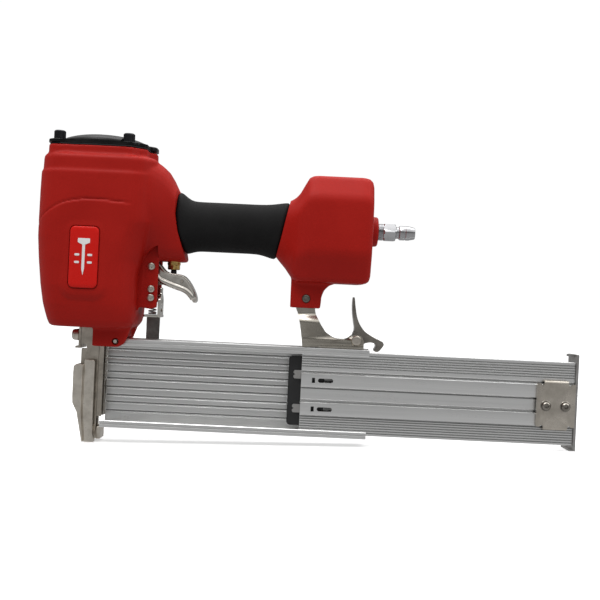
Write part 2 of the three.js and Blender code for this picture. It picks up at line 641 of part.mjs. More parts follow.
const rib = (z) => [
  [COVER_OUT, z], [COVER_OUT + 0.6, z - 0.3], [COVER_OUT + 0.6, z - 0.9], [COVER_OUT, z - 1.2],
];
const ribTop = [];
for (let i = 0; i < 6; i += 1) {
  const z = COVER_Z1 - 3.2 - i * 2.05;
  ribTop.push(...rib(z));
}
const bead = (z1, z0) => [
  [COVER_OUT, z1 + 1], [COVER_OUT - RAISED, z1], [COVER_OUT - RAISED, z0], [COVER_OUT, z0 - 1],
];
const ribBottom = [];
for (let i = 0; i < 5; i += 1) {
  const z = 28.4 - i * 2.05;
  ribBottom.push(...rib(z));
}
const hollow = (z0, z1) => [
  [COVER_IN, z0 + 1.6], [COVER_OUT - RAISED + 1.6, z0 + 1.8], [COVER_OUT - RAISED + 1.6, z1 - 1.8],
  [COVER_IN, z1 - 1.6],
];
const coverSection = [
  [COVER_OUT, COVER_Z1], ...ribTop, ...bead(65.6, 54.3), ...bead(41.7, 30.8),
  ...ribBottom, [COVER_OUT, COVER_Z0],
  [FLANGE_IN, COVER_Z0], [FLANGE_IN, COVER_Z0 + 2], [COVER_IN, COVER_Z0 + 2],
  ...hollow(30.8, 41.7), ...hollow(54.3, 65.6),
  [COVER_IN, COVER_Z1 - 2], [FLANGE_IN, COVER_Z1 - 2], [FLANGE_IN, COVER_Z1],
];
const slots = [];
for (const z of [59.95, 36.25]) {
  slots.push(box(COVER_X0 + 9, COVER_X0 + 11.5, -20, -2, z - 2.1, z + 2.1));
  slots.push(prismXZ(rounded(COVER_X0 + 14, COVER_X0 + 26.5, z - 1.75, z + 1.75, 1.7, 3), -20, -2));
}
const SCREW_XS = [COVER_X1 - 24.5, COVER_X1 - 8.5];
const SCREW_Z = 48.2;
const cover = cut(
  prismYZ(coverSection, COVER_X0, COVER_X1),
  ...slots,
  ...SCREW_XS.map((x) => alongY(rod(2.3, -20, -2, 12), x, SCREW_Z)),
);
add('magazine_cover', 'aluminium', cover);
const END_X0 = COVER_X1 + GAP;
const END_X1 = END_X0 + 2;
add('end_plate', 'steel', join(
  box(END_X0, END_X1, MAG_NEAR, MAG_FAR, 11.5, 91),
  box(END_X0 - 3.1, END_X1, MAG_NEAR, MAG_FAR, 11.5, 12.7),
  box(END_X0 - 3.4, END_X1 + 0.8, -6, 6, 89, 91),
));
const BRACKET_Y = MAG_NEAR - 3.5;
const BRACKET_X0 = COVER_X1 - 32;
const BRACKET_X1 = COVER_X1 - GAP;
add('rear_bracket', 'steel', cut(
  join(
    prismXZ([
      [BRACKET_X0, 32.5], [BRACKET_X0 + 2.3, 28.4], [BRACKET_X1 - 2.6, 28.4], [BRACKET_X1, 32.5],
      [BRACKET_X1, 65], [BRACKET_X1 - 2.6, 69.2], [BRACKET_X0 + 2.3, 69.2], [BRACKET_X0, 65],
    ], BRACKET_Y, BRACKET_Y + 2),
    box(BRACKET_X0 + 3.5, BRACKET_X1 - 3.8, BRACKET_Y, COVER_OUT - GAP, 67, 69.2),
    box(BRACKET_X0 + 3.5, BRACKET_X1 - 3.8, BRACKET_Y, COVER_OUT - GAP, 28.4, 30.2 - GAP),
  ),
  ...SCREW_XS.map((x) => alongY(rod(2.5, -20, -2, 12), x, SCREW_Z)),
));
SCREW_XS.forEach((x, i) => {
  const seat = BRACKET_Y - GAP;
  const body = join(rod(3.6, seat - 3, seat, 20), rod(2, seat - 1, -8.2, 12));
  add(`bracket_screw_${i + 1}`, 'steel', alongY(cut(body, rod(1.8, seat - 5, seat - 1.4, 6)), x, SCREW_Z));
});

// ---- follower ----
const wing = [
  [F_X0 + 2.6, F_Z0], [F_X0 + 30, F_Z0], [F_X0 + 30, F_Z1], [F_X0 + 2.6, F_Z1], [F_X0 + 0.8, F_Z1 - 0.8],
  [F_X0, F_Z1 - 2.6], [F_X0, F_Z0 + 2.6], [F_X0 + 0.8, F_Z0 + 0.8],
];
const follower = cut(
  join(
    prismXZ(wing, WING_Y0, WING_Y1),
    box(F_X0 + 17.5, F_X0 + 30, COVER_IN + GAP, 7, F_Z0, F_Z1),
    box(COVER_X0 + 0.8, F_X0 + 20, -3.1, 3.1, F_Z0, F_Z1),
  ),
  box(F_X0 + 21, F_X0 + 27.4, -4.6, 10, 57, 66),
  box(F_X0 + 21, F_X0 + 27.4, -4.6, 10, 33, 42),
);
add('follower', 'black_plastic', follower);
[61.5, 37.5].forEach((z, i) => {
  add(`feed_spring_${i + 1}`, 'steel', at(ring(1.6, 2.9, -4.1, 4.1, 16), F_X0 + 24.2, 0, z));
});
const CLIP_X0 = F_X0 + 4.2;
[[60.4, 67.4], [32.2, 39.2]].forEach(([z0, z1], i) => {
  const mid = (z0 + z1) / 2;
  add(`spring_clip_${i + 1}`, 'steel', prismXZ([
    [CLIP_X0 + 1, z0], [F_X0 + 17.1, z0], [F_X0 + 17.1, z1], [CLIP_X0 + 1, z1], [CLIP_X0, z1 - 1],
    [CLIP_X0, mid + 1],
    [CLIP_X0 + 1.4, mid], [CLIP_X0, mid - 1], [CLIP_X0, z0 + 1],
  ], CLIP_Y0, CLIP_Y1));
});

// ---- hanger bracket and latch ----
const bracketSide = [
  [165.5, 134], [181.8, 134], [181.8, 119], [182.1, 115.5], [187.2, 106.1], [192.1, 99], [198.7, 94.8],
  [205, 93.4], [211, 95], [213.6, 98.4], [217.3, 99.4], [221, 98], [223.7, 94.5], [223.7, MAG_Z1 + 0.4],
  [172.4, MAG_Z1 + 0.4], [170, 105.6], [167.8, 114.7], [165.5, 119],
].reverse();
const bracketIn = TONGUE_OUT - PLATE_T;
add('hanger_bracket', 'steel', cut(
  join(
    prismXZ(bracketSide, -TONGUE_OUT, -bracketIn),
    prismXZ(bracketSide, bracketIn, TONGUE_OUT),
    box(172.4, 223.7, -TONGUE_OUT, TONGUE_OUT, MAG_Z1 + 0.4, MAG_Z1 + 0.4 + PLATE_T),
  ),
  alongY(rod(3.4, -20, 20, 16), 174, 127),
  alongY(rod(2.8, -20, 20, 16), ...LATCH_PIVOT),
));
const hangerBolt = join(
  rod(3, -POST_HALF - 1, POST_HALF + GAP, 16),
  rod(4.6, -POST_HALF - 4, -POST_HALF - GAP, 20),
);
add('hanger_bolt', 'black_steel', alongY(cut(hangerBolt, rod(2.3, -20, -POST_HALF - 1.8, 6)), 174, 127));
const latchPin = join(
  rod(2.5, -TONGUE_OUT - 1, TONGUE_OUT + 1.4, 16),
  rod(4.2, -TONGUE_OUT - 2.4, -TONGUE_OUT - GAP, 20),
);
add('latch_pin', 'steel', alongY(latchPin, ...LATCH_PIVOT));
const LATCH_HALF = bracketIn - 0.5;
const latchOutline = [
  [213.1, 129.6], [214.5, 129.8], [215.5, 122.8], [217.2, 112.6], [224.1, 101.6], [240.4, 92.8],
  [238.8, 88.6],
  [236.2, 85.3], [233.2, 85.2], [232.3, 87], [232.3, 92.2], [225.4, 92.4], [221.5, 90.4], [217.3, 89.8],
  [213.6, 91.6],
  [212.6, 94.6], [214, 98.4], [215.6, 103.6], [213.9, 113], [213.2, 122.8],
];
add('latch_lever', 'steel', cut(
  prismXZ(latchOutline, -LATCH_HALF, LATCH_HALF),
  alongY(rod(2.8, -20, 20, 16), ...LATCH_PIVOT),
  box(219.2, 231, -4.6, 4.6, 80, 99),
));

export default group;
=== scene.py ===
"""Pneumatic flooring nailer with its side-opening magazine pulled out, built round its frame.

Sizes in this file are millimetres unless a name says otherwise. X runs to the rear, Z up the
driver axis, and the magazine opens towards -Y.
"""

import math

import bmesh
import bpy
from mathutils import Matrix, Vector


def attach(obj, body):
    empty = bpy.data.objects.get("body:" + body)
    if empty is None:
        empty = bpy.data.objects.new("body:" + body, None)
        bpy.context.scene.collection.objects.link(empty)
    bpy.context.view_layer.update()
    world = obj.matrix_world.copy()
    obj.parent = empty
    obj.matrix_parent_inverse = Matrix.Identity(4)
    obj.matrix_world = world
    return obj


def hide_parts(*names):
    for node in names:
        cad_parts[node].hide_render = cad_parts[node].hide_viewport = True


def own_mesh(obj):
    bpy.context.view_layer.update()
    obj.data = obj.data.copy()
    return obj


bl_info = {
    "name": "Flooring Nailer",
    "version": (1, 0, 0),
    "blender": (4, 5, 0),
    "location": "View3D > Sidebar > Nailer",
    "description": "Builds a pneumatic flooring nailer piece by piece round its frame",
    "category": "Add Mesh",
}

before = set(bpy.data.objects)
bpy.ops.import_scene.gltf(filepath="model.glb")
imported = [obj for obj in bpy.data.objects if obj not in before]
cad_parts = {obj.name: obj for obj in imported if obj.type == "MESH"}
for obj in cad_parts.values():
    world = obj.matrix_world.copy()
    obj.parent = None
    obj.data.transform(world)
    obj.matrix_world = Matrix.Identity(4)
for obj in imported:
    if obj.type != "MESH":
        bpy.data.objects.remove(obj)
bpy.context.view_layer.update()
MM = 0.001


# ---------------------------------------------------------------- shapes


class Form:
    """Points in millimetres and the faces between them."""

    def __init__(self, points=(), faces=()):
        self.points = list(points)
        self.faces = [tuple(f) for f in faces]

    def plus(self, *others):
        out = Form(self.points, self.faces)
        for other in others:
            start = len(out.points)
            out.points += other.points
            out.faces += [tuple(i + start for i in f) for f in other.faces]
        return out

    def moved(self, matrix):
        return Form([tuple(matrix @ Vector(p)) for p in self.points], self.faces)

    def shifted(self, x=0.0, y=0.0, z=0.0):
        return self.moved(Matrix.Translation((x, y, z)))


def loft(rings, closed=False):
    """A skin over rings of equal length, with flat ends or, if closed, the last ring joined to the first."""
    n = len(rings[0])
    points = [tuple(p) for ring in rings for p in ring]
    faces = []
    spans = len(rings) if closed else len(rings) - 1
    for k in range(spans):
        a, b = k * n, ((k + 1) % len(rings)) * n
        faces += [(a + i, a + (i + 1) % n, b + (i + 1) % n, b + i) for i in range(n)]
    if not closed:
        faces.append(tuple(reversed(range(n))))
        faces.append(tuple(range((len(rings) - 1) * n, len(rings) * n)))
    return Form(points, faces)


def prism(outline, low, high, axis="Y"):
    """An outline pushed along an axis. Outlines are X,Z for Y, then Y,Z for X and X,Y for Z."""
    place = {
        "Y": lambda a, b, h: (a, h, b),
        "X": lambda a, b, h: (h, a, b),
        "Z": lambda a, b, h: (a, b, h),
    }[axis]
    return loft([[place(a, b, h) for a, b in outline] for h in (low, high)])


def block(x0, x1, y0, y1, z0, z1):
    return prism([(x0, z0), (x1, z0), (x1, z1), (x0, z1)], y0, y1)


def circle(r, z, n=48):
    return [(r * math.cos(2 * math.pi * i / n), r * math.sin(2 * math.pi * i / n), z) for i in range(n)]


def knurl(r, depth, z, n=48):
    return [
        (
            (r - depth * (i % 2)) * math.cos(2 * math.pi * i / n),
            (r - depth * (i % 2)) * math.sin(2 * math.pi * i / n), z
        )
        for i in range(n)
    ]


def hexagon(flats, z, n=48):
    """Points on a hexagon of that width across its flats."""
    ring = []
    for i in range(n):
        a = 2 * math.pi * i / n
        near = (a + math.pi / 6) % (math.pi / 3) - math.pi / 6
        r = flats / 2 / math.cos(near)
        ring.append((r * math.cos(a), r * math.sin(a), z))
    return ring


def turned(profile, n=48, closed=False):
    return loft([circle(max(r, 0.01), z, n) for r, z in profile], closed)


TO_X = Matrix.Rotation(math.pi / 2, 4, "Y")
TO_NEAR = Matrix.Rotation(math.pi / 2, 4, "X")


def rod(r, low, high, n=48):
    """A plain round bar up Z."""
    return turned([(r, low), (r, high)], n)


def cross_rod(r, low, high, n, x, z):
    """A plain round bar across the tool, its low and high counted towards the near side."""
    return rod(r, low, high, n).moved(TO_NEAR).shifted(x=x, z=z)


def curve_points(points, steps=6, closed=True):
    """A smooth line through the points."""
    out = []
    n = len(points)
    last = n if closed else n - 1
    for i in range(last):
        if closed:
            p0, p1, p2, p3 = (points[(i + k - 1) % n] for k in range(4))
        else:
            p0, p1, p2, p3 = (points[min(max(i + k - 1, 0), n - 1)] for k in range(4))
        for s in range(steps):
            t = s / steps
            out.append(tuple(
                0.5 * (
                    2 * b + (c - a) * t + (
                        2 * a - 5 * b + 4 * c - d
                    ) * t * t + (3 * b - a - 3 * c + d) * t**3
                )
                for a, b, c, d in zip(p0, p1, p2, p3)
            ))
    if not closed:
        out.append(tuple(points[-1]))
    return out


def rounded(x0, x1, y0, y1, r, steps=6):
    ring = []
    corners = ((x1 - r, y1 - r), (x0 + r, y1 - r), (x0 + r, y0 + r), (x1 - r, y0 + r))
    for quarter, (cx, cy) in enumerate(corners):
        for i in range(steps + 1):
            a = (quarter + i / steps) * math.pi / 2
            ring.append((cx + r * math.cos(a), cy + r * math.sin(a)))
    return ring


def softened(outline, radius, steps=3):
    """The outline with each corner cut into a small arc."""
    out = []
    n = len(outline)
    for i in range(n):
        p = Vector(outline[i])
        a = Vector(outline[i - 1]) - p
        b = Vector(outline[(i + 1) % n]) - p
        cut = min(radius, a.length * 0.45, b.length * 0.45)
        if cut < 0.02 or abs(a.normalized().dot(b.normalized())) > 0.995:
            out.append(tuple(p))
            continue
        start, end = p + a.normalized() * cut, p + b.normalized() * cut
        for k in range(steps + 1):
            t = k / steps
            out.append(tuple(start * (1 - t) ** 2 + p * 2 * t * (1 - t) + end * t * t))
    return out


def tube(path, radius, sides=10):
    """A round wire along points."""
    rings = []
    up = Vector((0, 0, 1))
    for i, p in enumerate(path):
        a = Vector(path[max(i - 1, 0)])
        b = Vector(path[min(i + 1, len(path) - 1)])
        along = (b - a).normalized()
        side = along.cross(up)
        if side.length < 0.1:
            side = along.cross(Vector((1, 0, 0)))
        side.normalize()
        top = side.cross(along)
        rings.append([
            tuple(
                Vector(p) + radius * (
                    math.cos(2 * math.pi * k / sides) * side + math.sin(2 * math.pi * k / sides) * top
                )
            )
            for k in range(sides)
        ])
    return loft(rings)


def coil(radius, wire, low, high, turns, sides=8):
    """A compression spring up Z, its end turns closed."""
    path = []
    count = int(turns * 20)
    for i in range(count + 1):
        t = i / count
        ease = 0.5 - 0.5 * math.cos(math.pi * min(max((t - 0.06) / 0.88, 0), 1))
        lift = 0.35 * ease + 0.65 * min(max((t - 0.06) / 0.88, 0), 1)
        z = low + wire + (high - low - 2 * wire) * lift
        path.append(
            (radius * math.cos(2 * math.pi * turns * t), radius * math.sin(2 * math.pi * turns * t), z)
        )
    return tube(path, wire, sides)


def as_object(name, form):
    mesh = bpy.data.meshes.new(name)
    mesh.from_pydata([(x * MM, y * MM, z * MM) for x, y, z in form.points], [], form.faces)
    work = bmesh.new()
    work.from_mesh(mesh)
    bmesh.ops.remove_doubles(work, verts=work.verts, dist=1e-7)
    bmesh.ops.recalc_face_normals(work, faces=work.faces)
    work.to_mesh(mesh)
    work.free()
    made = bpy.data.objects.new(name, mesh)
    bpy.context.scene.collection.objects.link(made)
    return made


def freeze(ob):
    """Turns the modifiers of a piece into its mesh."""
    bpy.context.view_layer.update()
    graph = bpy.context.evaluated_depsgraph_get()
    mesh = bpy.data.meshes.new_from_object(ob.evaluated_get(graph))
    old = ob.data
    ob.modifiers.clear()
    ob.data = mesh
    bpy.data.meshes.remove(old)
    return ob


def carve(ob, cutters, operation="DIFFERENCE"):
    """Takes the cutters, which are forms, out of a piece, or adds them to it."""
    helpers = []
    for number, form in enumerate(cutters):
        helper = as_object(f"{ob.name}_tool_{number}", form)
        helpers.append(helper)
        change = ob.modifiers.new(f"Cut {number}", "BOOLEAN")
        change.operation = operation
        change.solver = "MANIFOLD"
        change.object = helper
    freeze(ob)
    for helper in helpers:
        bpy.data.objects.remove(helper, do_unlink=True)
    return ob


def cast_skin(ob, voxel, rounds):
    """One continuous cast surface over the closed forms of a piece, its corners softened."""
    skin = ob.modifiers.new("Skin", "REMESH")
    skin.mode = "VOXEL"
    skin.voxel_size = voxel * MM
    soft = ob.modifiers.new("Soft", "SMOOTH")
    soft.factor = 0.5
    soft.iterations = rounds
    return freeze(ob)


def edges_rounded(ob, width, segments=2, angle=32):
    bevel = ob.modifiers.new("Edges", "BEVEL")
    bevel.width = width * MM
    bevel.segments = segments
    bevel.limit_method = "ANGLE"
    bevel.angle_limit = math.radians(angle)
    bevel.use_clamp_overlap = True
    bevel.harden_normals = False
    return ob


def smooth_by_angle(ob, angle=38):
    for face in ob.data.polygons:
        face.use_smooth = True
    ob.data.set_sharp_from_angle(angle=math.radians(angle))
    return ob


def dress(ob, finish, body, slot, *stands_for, angle=38):
    """Gives a piece its finish, its body and the frame nodes that it stands for."""
    smooth_by_angle(ob, angle)
    ob.data.materials.clear()
    ob.data.materials.append(finish)
    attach(ob, body)
    if stands_for:
        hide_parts(*stands_for)
    return ob


def finish_node(node, finish, bevel=0.25):
    """A frame node that is shown as it is, with its edges broken and a finish of its own."""
    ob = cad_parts[node]
    if not ob.material_slots:
        ob.data.materials.append(finish)
    for held in ob.material_slots:
        held.link = "OBJECT"
        held.material = finish
    if bevel:
        edges_rounded(ob, bevel, 2)
        weigh = ob.modifiers.new("Shading", "WEIGHTED_NORMAL")
        weigh.keep_sharp = True
    return ob


# ---------------------------------------------------------------- finishes


class Value:
    """A socket that takes part in sums."""

    def __init__(self, tree, socket):
        self.tree = tree
        self.socket = socket

    def _sum(self, operation, first, second):
        return self.tree.node("ShaderNodeMath", {"operation": operation}, {0: first, 1: second}).out()

    def __add__(self, other):
        return self._sum("ADD", self, other)

    def __radd__(self, other):
        return self._sum("ADD", other, self)

    def __sub__(self, other):
        return self._sum("SUBTRACT", self, other)

    def __rsub__(self, other):
        return self._sum("SUBTRACT", other, self)

    def __mul__(self, other):
        return self._sum("MULTIPLY", self, other)

    def __rmul__(self, other):
        return self._sum("MULTIPLY", other, self)

    def band(self, low, high, to_low=0.0, to_high=1.0):
        """This value from low to high mapped onto to_low to to_high, and clamped."""
        made = self.tree.node(
            "ShaderNodeMapRange", {"clamp": True},
            {"Value": self, "From Min": low, "From Max": high, "To Min": to_low, "To Max": to_high},
        )
        return made.out("Result")


class Made:
    """A node that was made, whose outputs are asked for by name or number."""

    def __init__(self, tree, node):
        self.tree = tree
        self.node = node

    def out(self, name=0):
        return Value(self.tree, self.node.outputs[name])


class Tree:
    """A node tree that nodes are added to by name."""

    def __init__(self, node_tree):
        self.nodes = node_tree.nodes
        self.links = node_tree.links

    def node(self, kind, settings=None, sockets=None):
        made = self.nodes.new(kind)
        for key, value in (settings or {}).items():
            setattr(made, key, value)
        for key, value in (sockets or {}).items():
            if isinstance(value, Value):
                self.links.new(value.socket, made.inputs[key])
            else:
                made.inputs[key].default_value = value
        return Made(self, made)


class Finish(Tree):
    """A material and the nodes that it is built from."""

    def __init__(self, name, colour, roughness, metallic=0.0, **extra):
        self.material = bpy.data.materials.new(name)
        self.material.use_nodes = True
        super().__init__(self.material.node_tree)
        self.shader = self.nodes["Principled BSDF"]
        self.material.diffuse_color = (*colour, 1)
        self.shader.inputs["Base Color"].default_value = (*colour, 1)
        self.shader.inputs["Roughness"].default_value = roughness
        self.shader.inputs["Metallic"].default_value = metallic
        for key, value in extra.items():
            self.shader.inputs[key.replace("_", " ")].default_value = value

    def feed(self, **inputs):
        for key, value in inputs.items():
            self.links.new(value.socket, self.shader.inputs[key.replace("_", " ")])
        return self

    def place(self, stretch=(1, 1, 1)):
        """Object coordinates in millimetres, stretched along the axes."""
        where = self.node("ShaderNodeTexCoord").out("Object")
        scale = tuple(1000 * s for s in stretch)
        return self.node(
            "ShaderNodeVectorMath", {"operation": "MULTIPLY"}, {0: where, 1: scale}
        ).out("Vector")

    def grain(self, size, detail=2.0, stretch=(1, 1, 1), rough=0.5):
        """Noise whose grains are about size millimetres across."""
        return self.node(
            "ShaderNodeTexNoise", {},
            {"Vector": self.place(stretch), "Scale": 1.0 / size, "Detail": detail, "Roughness": rough},
        ).out(0)

    def cells(self, size):
        """Distance to the nearest of points about size millimetres apart."""
        return self.node(
            "ShaderNodeTexVoronoi", {"feature": "F1"}, {"Vector": self.place(), "Scale": 1.0 / size},
        ).out("Distance")

    def mix(self, amount, first, second):
        made = self.node("ShaderNodeMix", {"data_type": "RGBA"}, {})
        for key, value in ((0, amount), (6, first), (7, second)):
            if isinstance(value, Value):
                self.links.new(value.socket, made.node.inputs[key])
            elif key == 0:
                made.node.inputs[key].default_value = value
            else:
                made.node.inputs[key].default_value = (*value, 1)
        return made.out(2)

    def edges(self, low=0.52, high=0.62):
        """Where the surface turns outwards."""
        return self.node("ShaderNodeNewGeometry").out("Pointiness").band(low, high)

    def shade_in_hollows(self, reach):
        """Ambient occlusion, 1 on an open face, falling to 0 in a groove: used to paint shade into grooves.
        """
        settings = {"samples": 6, "only_local": True}
        return self.node("ShaderNodeAmbientOcclusion", settings, {"Distance": reach * MM}).out("AO")

    def bump(self, height, depth, strength=1.0, under=None):
        """A Normal from a height of 0 to 1 that stands depth millimetres high."""
        sockets = {"Height": height, "Distance": depth * MM, "Strength": strength}
        if under is not None:
            sockets["Normal"] = under
        return self.node("ShaderNodeBump", {}, sockets).out("Normal")


def textured_paint(name, colour, bright, grain_size, depth, roughness):
    """Fine-textured powder coat: a pebbled skin whose peaks are drawn brighter as a painted highlight, and
    whose edges are lighter in patches, partly worn paint and partly a painted highlight.
    """
    f = Finish(name, colour, roughness, Specular_IOR_Level=0.16)
    pebble = f.grain(grain_size, 3.0, rough=0.6)
    cloud = f.grain(38.0, 3.0)
    handled = f.grain(9.0, 4.0, rough=0.65)
    # Pebble peaks drawn brighter: a painted highlight on the grain, mixed below with random tone.
    peak_highlight = pebble.band(0.42, 0.72)
    tone_and_peak_highlight = f.mix(peak_highlight * 0.35 + cloud.band(0.35, 0.7) * 0.3, colour, bright)
    # Edges lighter in patches: partly worn paint, partly a painted highlight.
    worn_and_lit_edges = f.edges(0.53, 0.6) * handled.band(0.45, 0.62)
    colour_out = f.mix(worn_and_lit_edges * 0.35, tone_and_peak_highlight, tuple(min(1.0, c * 1.6 + 0.02) for c in bright))
    f.feed(
        Base_Color=colour_out,
        Roughness=roughness + (pebble - 0.5) * 0.2 + (cloud - 0.5) * 0.18 - worn_and_lit_edges * 0.08,
        Normal=f.bump(pebble, depth, 0.85, f.bump(handled, 0.05, 0.25)),
    )
    return f.material


def gloss_paint(name, colour, roughness):
    """Smooth gloss paint with a faint orange-peel skin, dust in the hollows and edges lighter in patches,
    partly rubbed and partly a painted highlight.
    """
    f = Finish(name, colour, roughness, Specular_IOR_Level=0.16, Coat_Weight=0.04, Coat_Roughness=0.1)
    peel = f.grain(2.6, 2.0)
    smudge = f.grain(14.0, 5.0, rough=0.62)
    speck = f.cells(1.4)
    # Edges lighter in patches: partly rubbed paint, partly a painted highlight.
    rubbed_and_lit_edges = f.edges(0.54, 0.64) * smudge.band(0.42, 0.6)
    pale = tuple(min(1.0, c * 1.15 + 0.03) for c in colour)
    f.feed(
        Base_Color=f.mix(rubbed_and_lit_edges * 0.5 + smudge.band(0.55, 0.8) * 0.12, colour, pale),
        Roughness=roughness + smudge.band(0.35, 0.75) * 0.22 + speck.band(0.0, 0.25, 0.05, 0.0),
        Normal=f.bump(peel, 0.03, 0.5),
    )
    return f.material


def moulded_rubber(name, colour, roughness=0.72):
    """Moulded rubber with a fine stipple, a dusty bloom and shinier rubbed places."""
    f = Finish(name, colour, roughness, Specular_IOR_Level=0.12)
    stipple = f.cells(0.75)
    bloom = f.grain(16.0, 4.0, rough=0.6)
    hand = f.grain(42.0, 2.0)
    f.feed(
        Base_Color=f.mix(bloom.band(0.4, 0.8) * 0.55, colour, tuple(c + 0.008 for c in colour)),
        Roughness=roughness - hand.band(0.45, 0.7) * 0.14 + (bloom - 0.5) * 0.15,
        Normal=f.bump(stipple, 0.06, 0.6, f.bump(bloom, 0.08, 0.2)),
    )
    return f.material


def plated(name, colour, dark, roughness, wave=0.12, grain_size=6.0):
    """Plated metal over a cast or pressed surface: slight waves, cloudy plating, fine scratches and painted
    shade in its creases.
    """
    f = Finish(name, colour, roughness, 1.0)
    swell = f.grain(grain_size, 2.0)
    cloud = f.grain(11.0, 5.0, rough=0.6)
    pits = f.cells(1.1)
    scratch = f.grain(0.5, 2.0, (0.05, 1.0, 1.6))
    f.feed(
        # Creases, where the surface turns inwards, are darkened: painted shade.
        Base_Color=f.mix(
            cloud.band(0.4, 0.7) * 0.6 + pits.band(0.0, 0.22, 0.4, 0.0) + (1 - f.edges(0.42, 0.48)) * 0.35,
            colour, dark
        ),
        Roughness=roughness + cloud.band(0.35, 0.75) * 0.16 + scratch.band(0.6, 0.75) * 0.12,
        Normal=f.bump(swell, wave, 0.35, f.bump(scratch, 0.012, 0.4)),
    )
    return f.material


def drawn_metal(name, colour, dark, roughness, stretch):
    """Extruded or drawn metal: streaks along its length, a soft anodised bloom, small nicks and painted
    shade darkening its grooves.
    """
    f = Finish(name, colour, roughness, 1.0)
    streak = f.grain(0.9, 4.0, stretch, 0.7)
    broad = f.grain(3.4, 2.0, stretch)
    bloom = f.grain(22.0, 4.0, rough=0.6)
    nicks = f.cells(5.0).band(0.0, 0.06, 1.0, 0.0)
    worked = f.mix(streak.band(0.35, 0.7) * 0.22 + broad.band(0.4, 0.65) * 0.16 + nicks * 0.25, colour, dark)
    f.feed(
        # Grooves darkened to near black from ambient occlusion: painted shade.
        Base_Color=f.mix(
            f.shade_in_hollows(1.8).band(0.3, 0.75, 1.0, 0.0) * 0.88, worked, tuple(c * 0.12 for c in dark)
        ),
        Roughness=roughness + streak.band(0.3, 0.7) * 0.12 + (bloom - 0.5) * 0.16,
        Normal=f.bump(streak, 0.012, 0.5, f.bump(bloom, 0.05, 0.12)),
    )
    return f.material


def turned_metal(name, colour, dark, roughness):
    """Machined metal with fine tool marks."""
    f = Finish(name, colour, roughness, 1.0)
    marks = f.grain(0.35, 2.0, (1.0, 0.12, 1.0))
    stain = f.grain(5.0, 4.0, rough=0.65)
    f.feed(
        Base_Color=f.mix(stain.band(0.45, 0.75) * 0.55, colour, dark),
        Roughness=roughness + marks.band(0.35, 0.7) * 0.14 + stain.band(0.4, 0.8) * 0.14,
        Normal=f.bump(marks, 0.015, 0.5),
    )
    return f.material


def moulded_plastic(name, colour, roughness):
    """Moulded plastic with a fine spark finish."""
    f = Finish(name, colour, roughness)
    spark = f.grain(0.6, 3.0)
    rub = f.grain(9.0, 4.0, rough=0.6)
    f.feed(
        Base_Color=f.mix(rub.band(0.5, 0.8) * 0.4, colour, tuple(min(1.0, c * 1.3 + 0.02) for c in colour)),
        Roughness=roughness + (rub - 0.5) * 0.22,
        Normal=f.bump(spark, 0.03, 0.5),
    )
    return f.material


LOOK = {}


def mix_finishes(colours):
    """Makes every finish once."""
    LOOK["red"] = textured_paint(
        "red_powder_coat", tuple(colours.casting), tuple(colours.casting_light), 0.85, 0.1, 0.5
    )
    LOOK["cap"] = gloss_paint("black_gloss_paint", tuple(colours.cap), 0.2)
    LOOK["oxide"] = turned_metal("black_oxide", (0.035, 0.035, 0.038), (0.012, 0.012, 0.012), 0.32)
    LOOK["rubber"] = moulded_rubber("grip_rubber", tuple(colours.grip))
    LOOK["soft"] = moulded_rubber("bumper_rubber", (0.03, 0.03, 0.032), 0.6)
    LOOK["plug"] = plated("bright_chrome", (0.52, 0.52, 0.53), (0.3, 0.3, 0.31), 0.06, 0.05, 4.0)
    LOOK["chrome"] = plated("chrome_plate", (0.66, 0.63, 0.58), (0.3, 0.27, 0.23), 0.1, 0.3, 4.0)
    LOOK["polished"] = plated("polished_nickel", (0.36, 0.335, 0.3), (0.1, 0.09, 0.075), 0.11, 0.4, 4.0)
    LOOK["hanger"] = plated("pressed_nickel", (0.5, 0.47, 0.41), (0.3, 0.27, 0.23), 0.2, 0.08, 5.0)
    LOOK["nose"] = plated("rough_nickel", (0.56, 0.51, 0.44), (0.22, 0.2, 0.17), 0.26, 0.3, 2.4)
    LOOK["nickel"] = plated("nickel_plate", tuple(colours.nickel), (0.36, 0.33, 0.28), 0.24, 0.1, 5.0)
    LOOK["nickel_cast"] = plated("nickel_casting", (0.78, 0.73, 0.65), (0.4, 0.36, 0.3), 0.27, 0.3, 4.5)
    LOOK["rail"] = drawn_metal(
        "anodised_rail", tuple(colours.aluminium), (0.56, 0.565, 0.56), 0.3, (0.012, 1.0, 1.0)
    )
    LOOK["cover"] = drawn_metal(
        "anodised_cover", tuple(colours.aluminium), (0.6, 0.605, 0.6), 0.27, (0.01, 1.0, 1.0)
    )
    LOOK["zinc"] = plated("zinc_sheet", (0.5, 0.49, 0.48), (0.25, 0.24, 0.23), 0.33, 0.05, 2.5)
    LOOK["steel"] = drawn_metal(
        "ground_steel", (0.5, 0.49, 0.48), (0.28, 0.27, 0.26), 0.25, (1.0, 1.0, 0.04)
    )
    LOOK["link"] = plated("dark_link_steel", (0.2, 0.19, 0.18), (0.08, 0.075, 0.07), 0.33, 0.12, 3.0)
    LOOK["brass"] = turned_metal("valve_brass", (0.62, 0.42, 0.15), (0.3, 0.18, 0.06), 0.2)
    LOOK["plastic"] = moulded_plastic("black_plastic", (0.014, 0.014, 0.015), 0.42)
    LOOK["badge"] = gloss_paint("badge_red", tuple(colours.badge), 0.22)
    LOOK["mark"] = gloss_paint("badge_white", (0.86, 0.86, 0.86), 0.3)
    LOOK["honed"] = turned_metal("honed_aluminium", (0.6, 0.6, 0.61), (0.4, 0.4, 0.41), 0.22)


# ---------------------------------------------------------------- settings


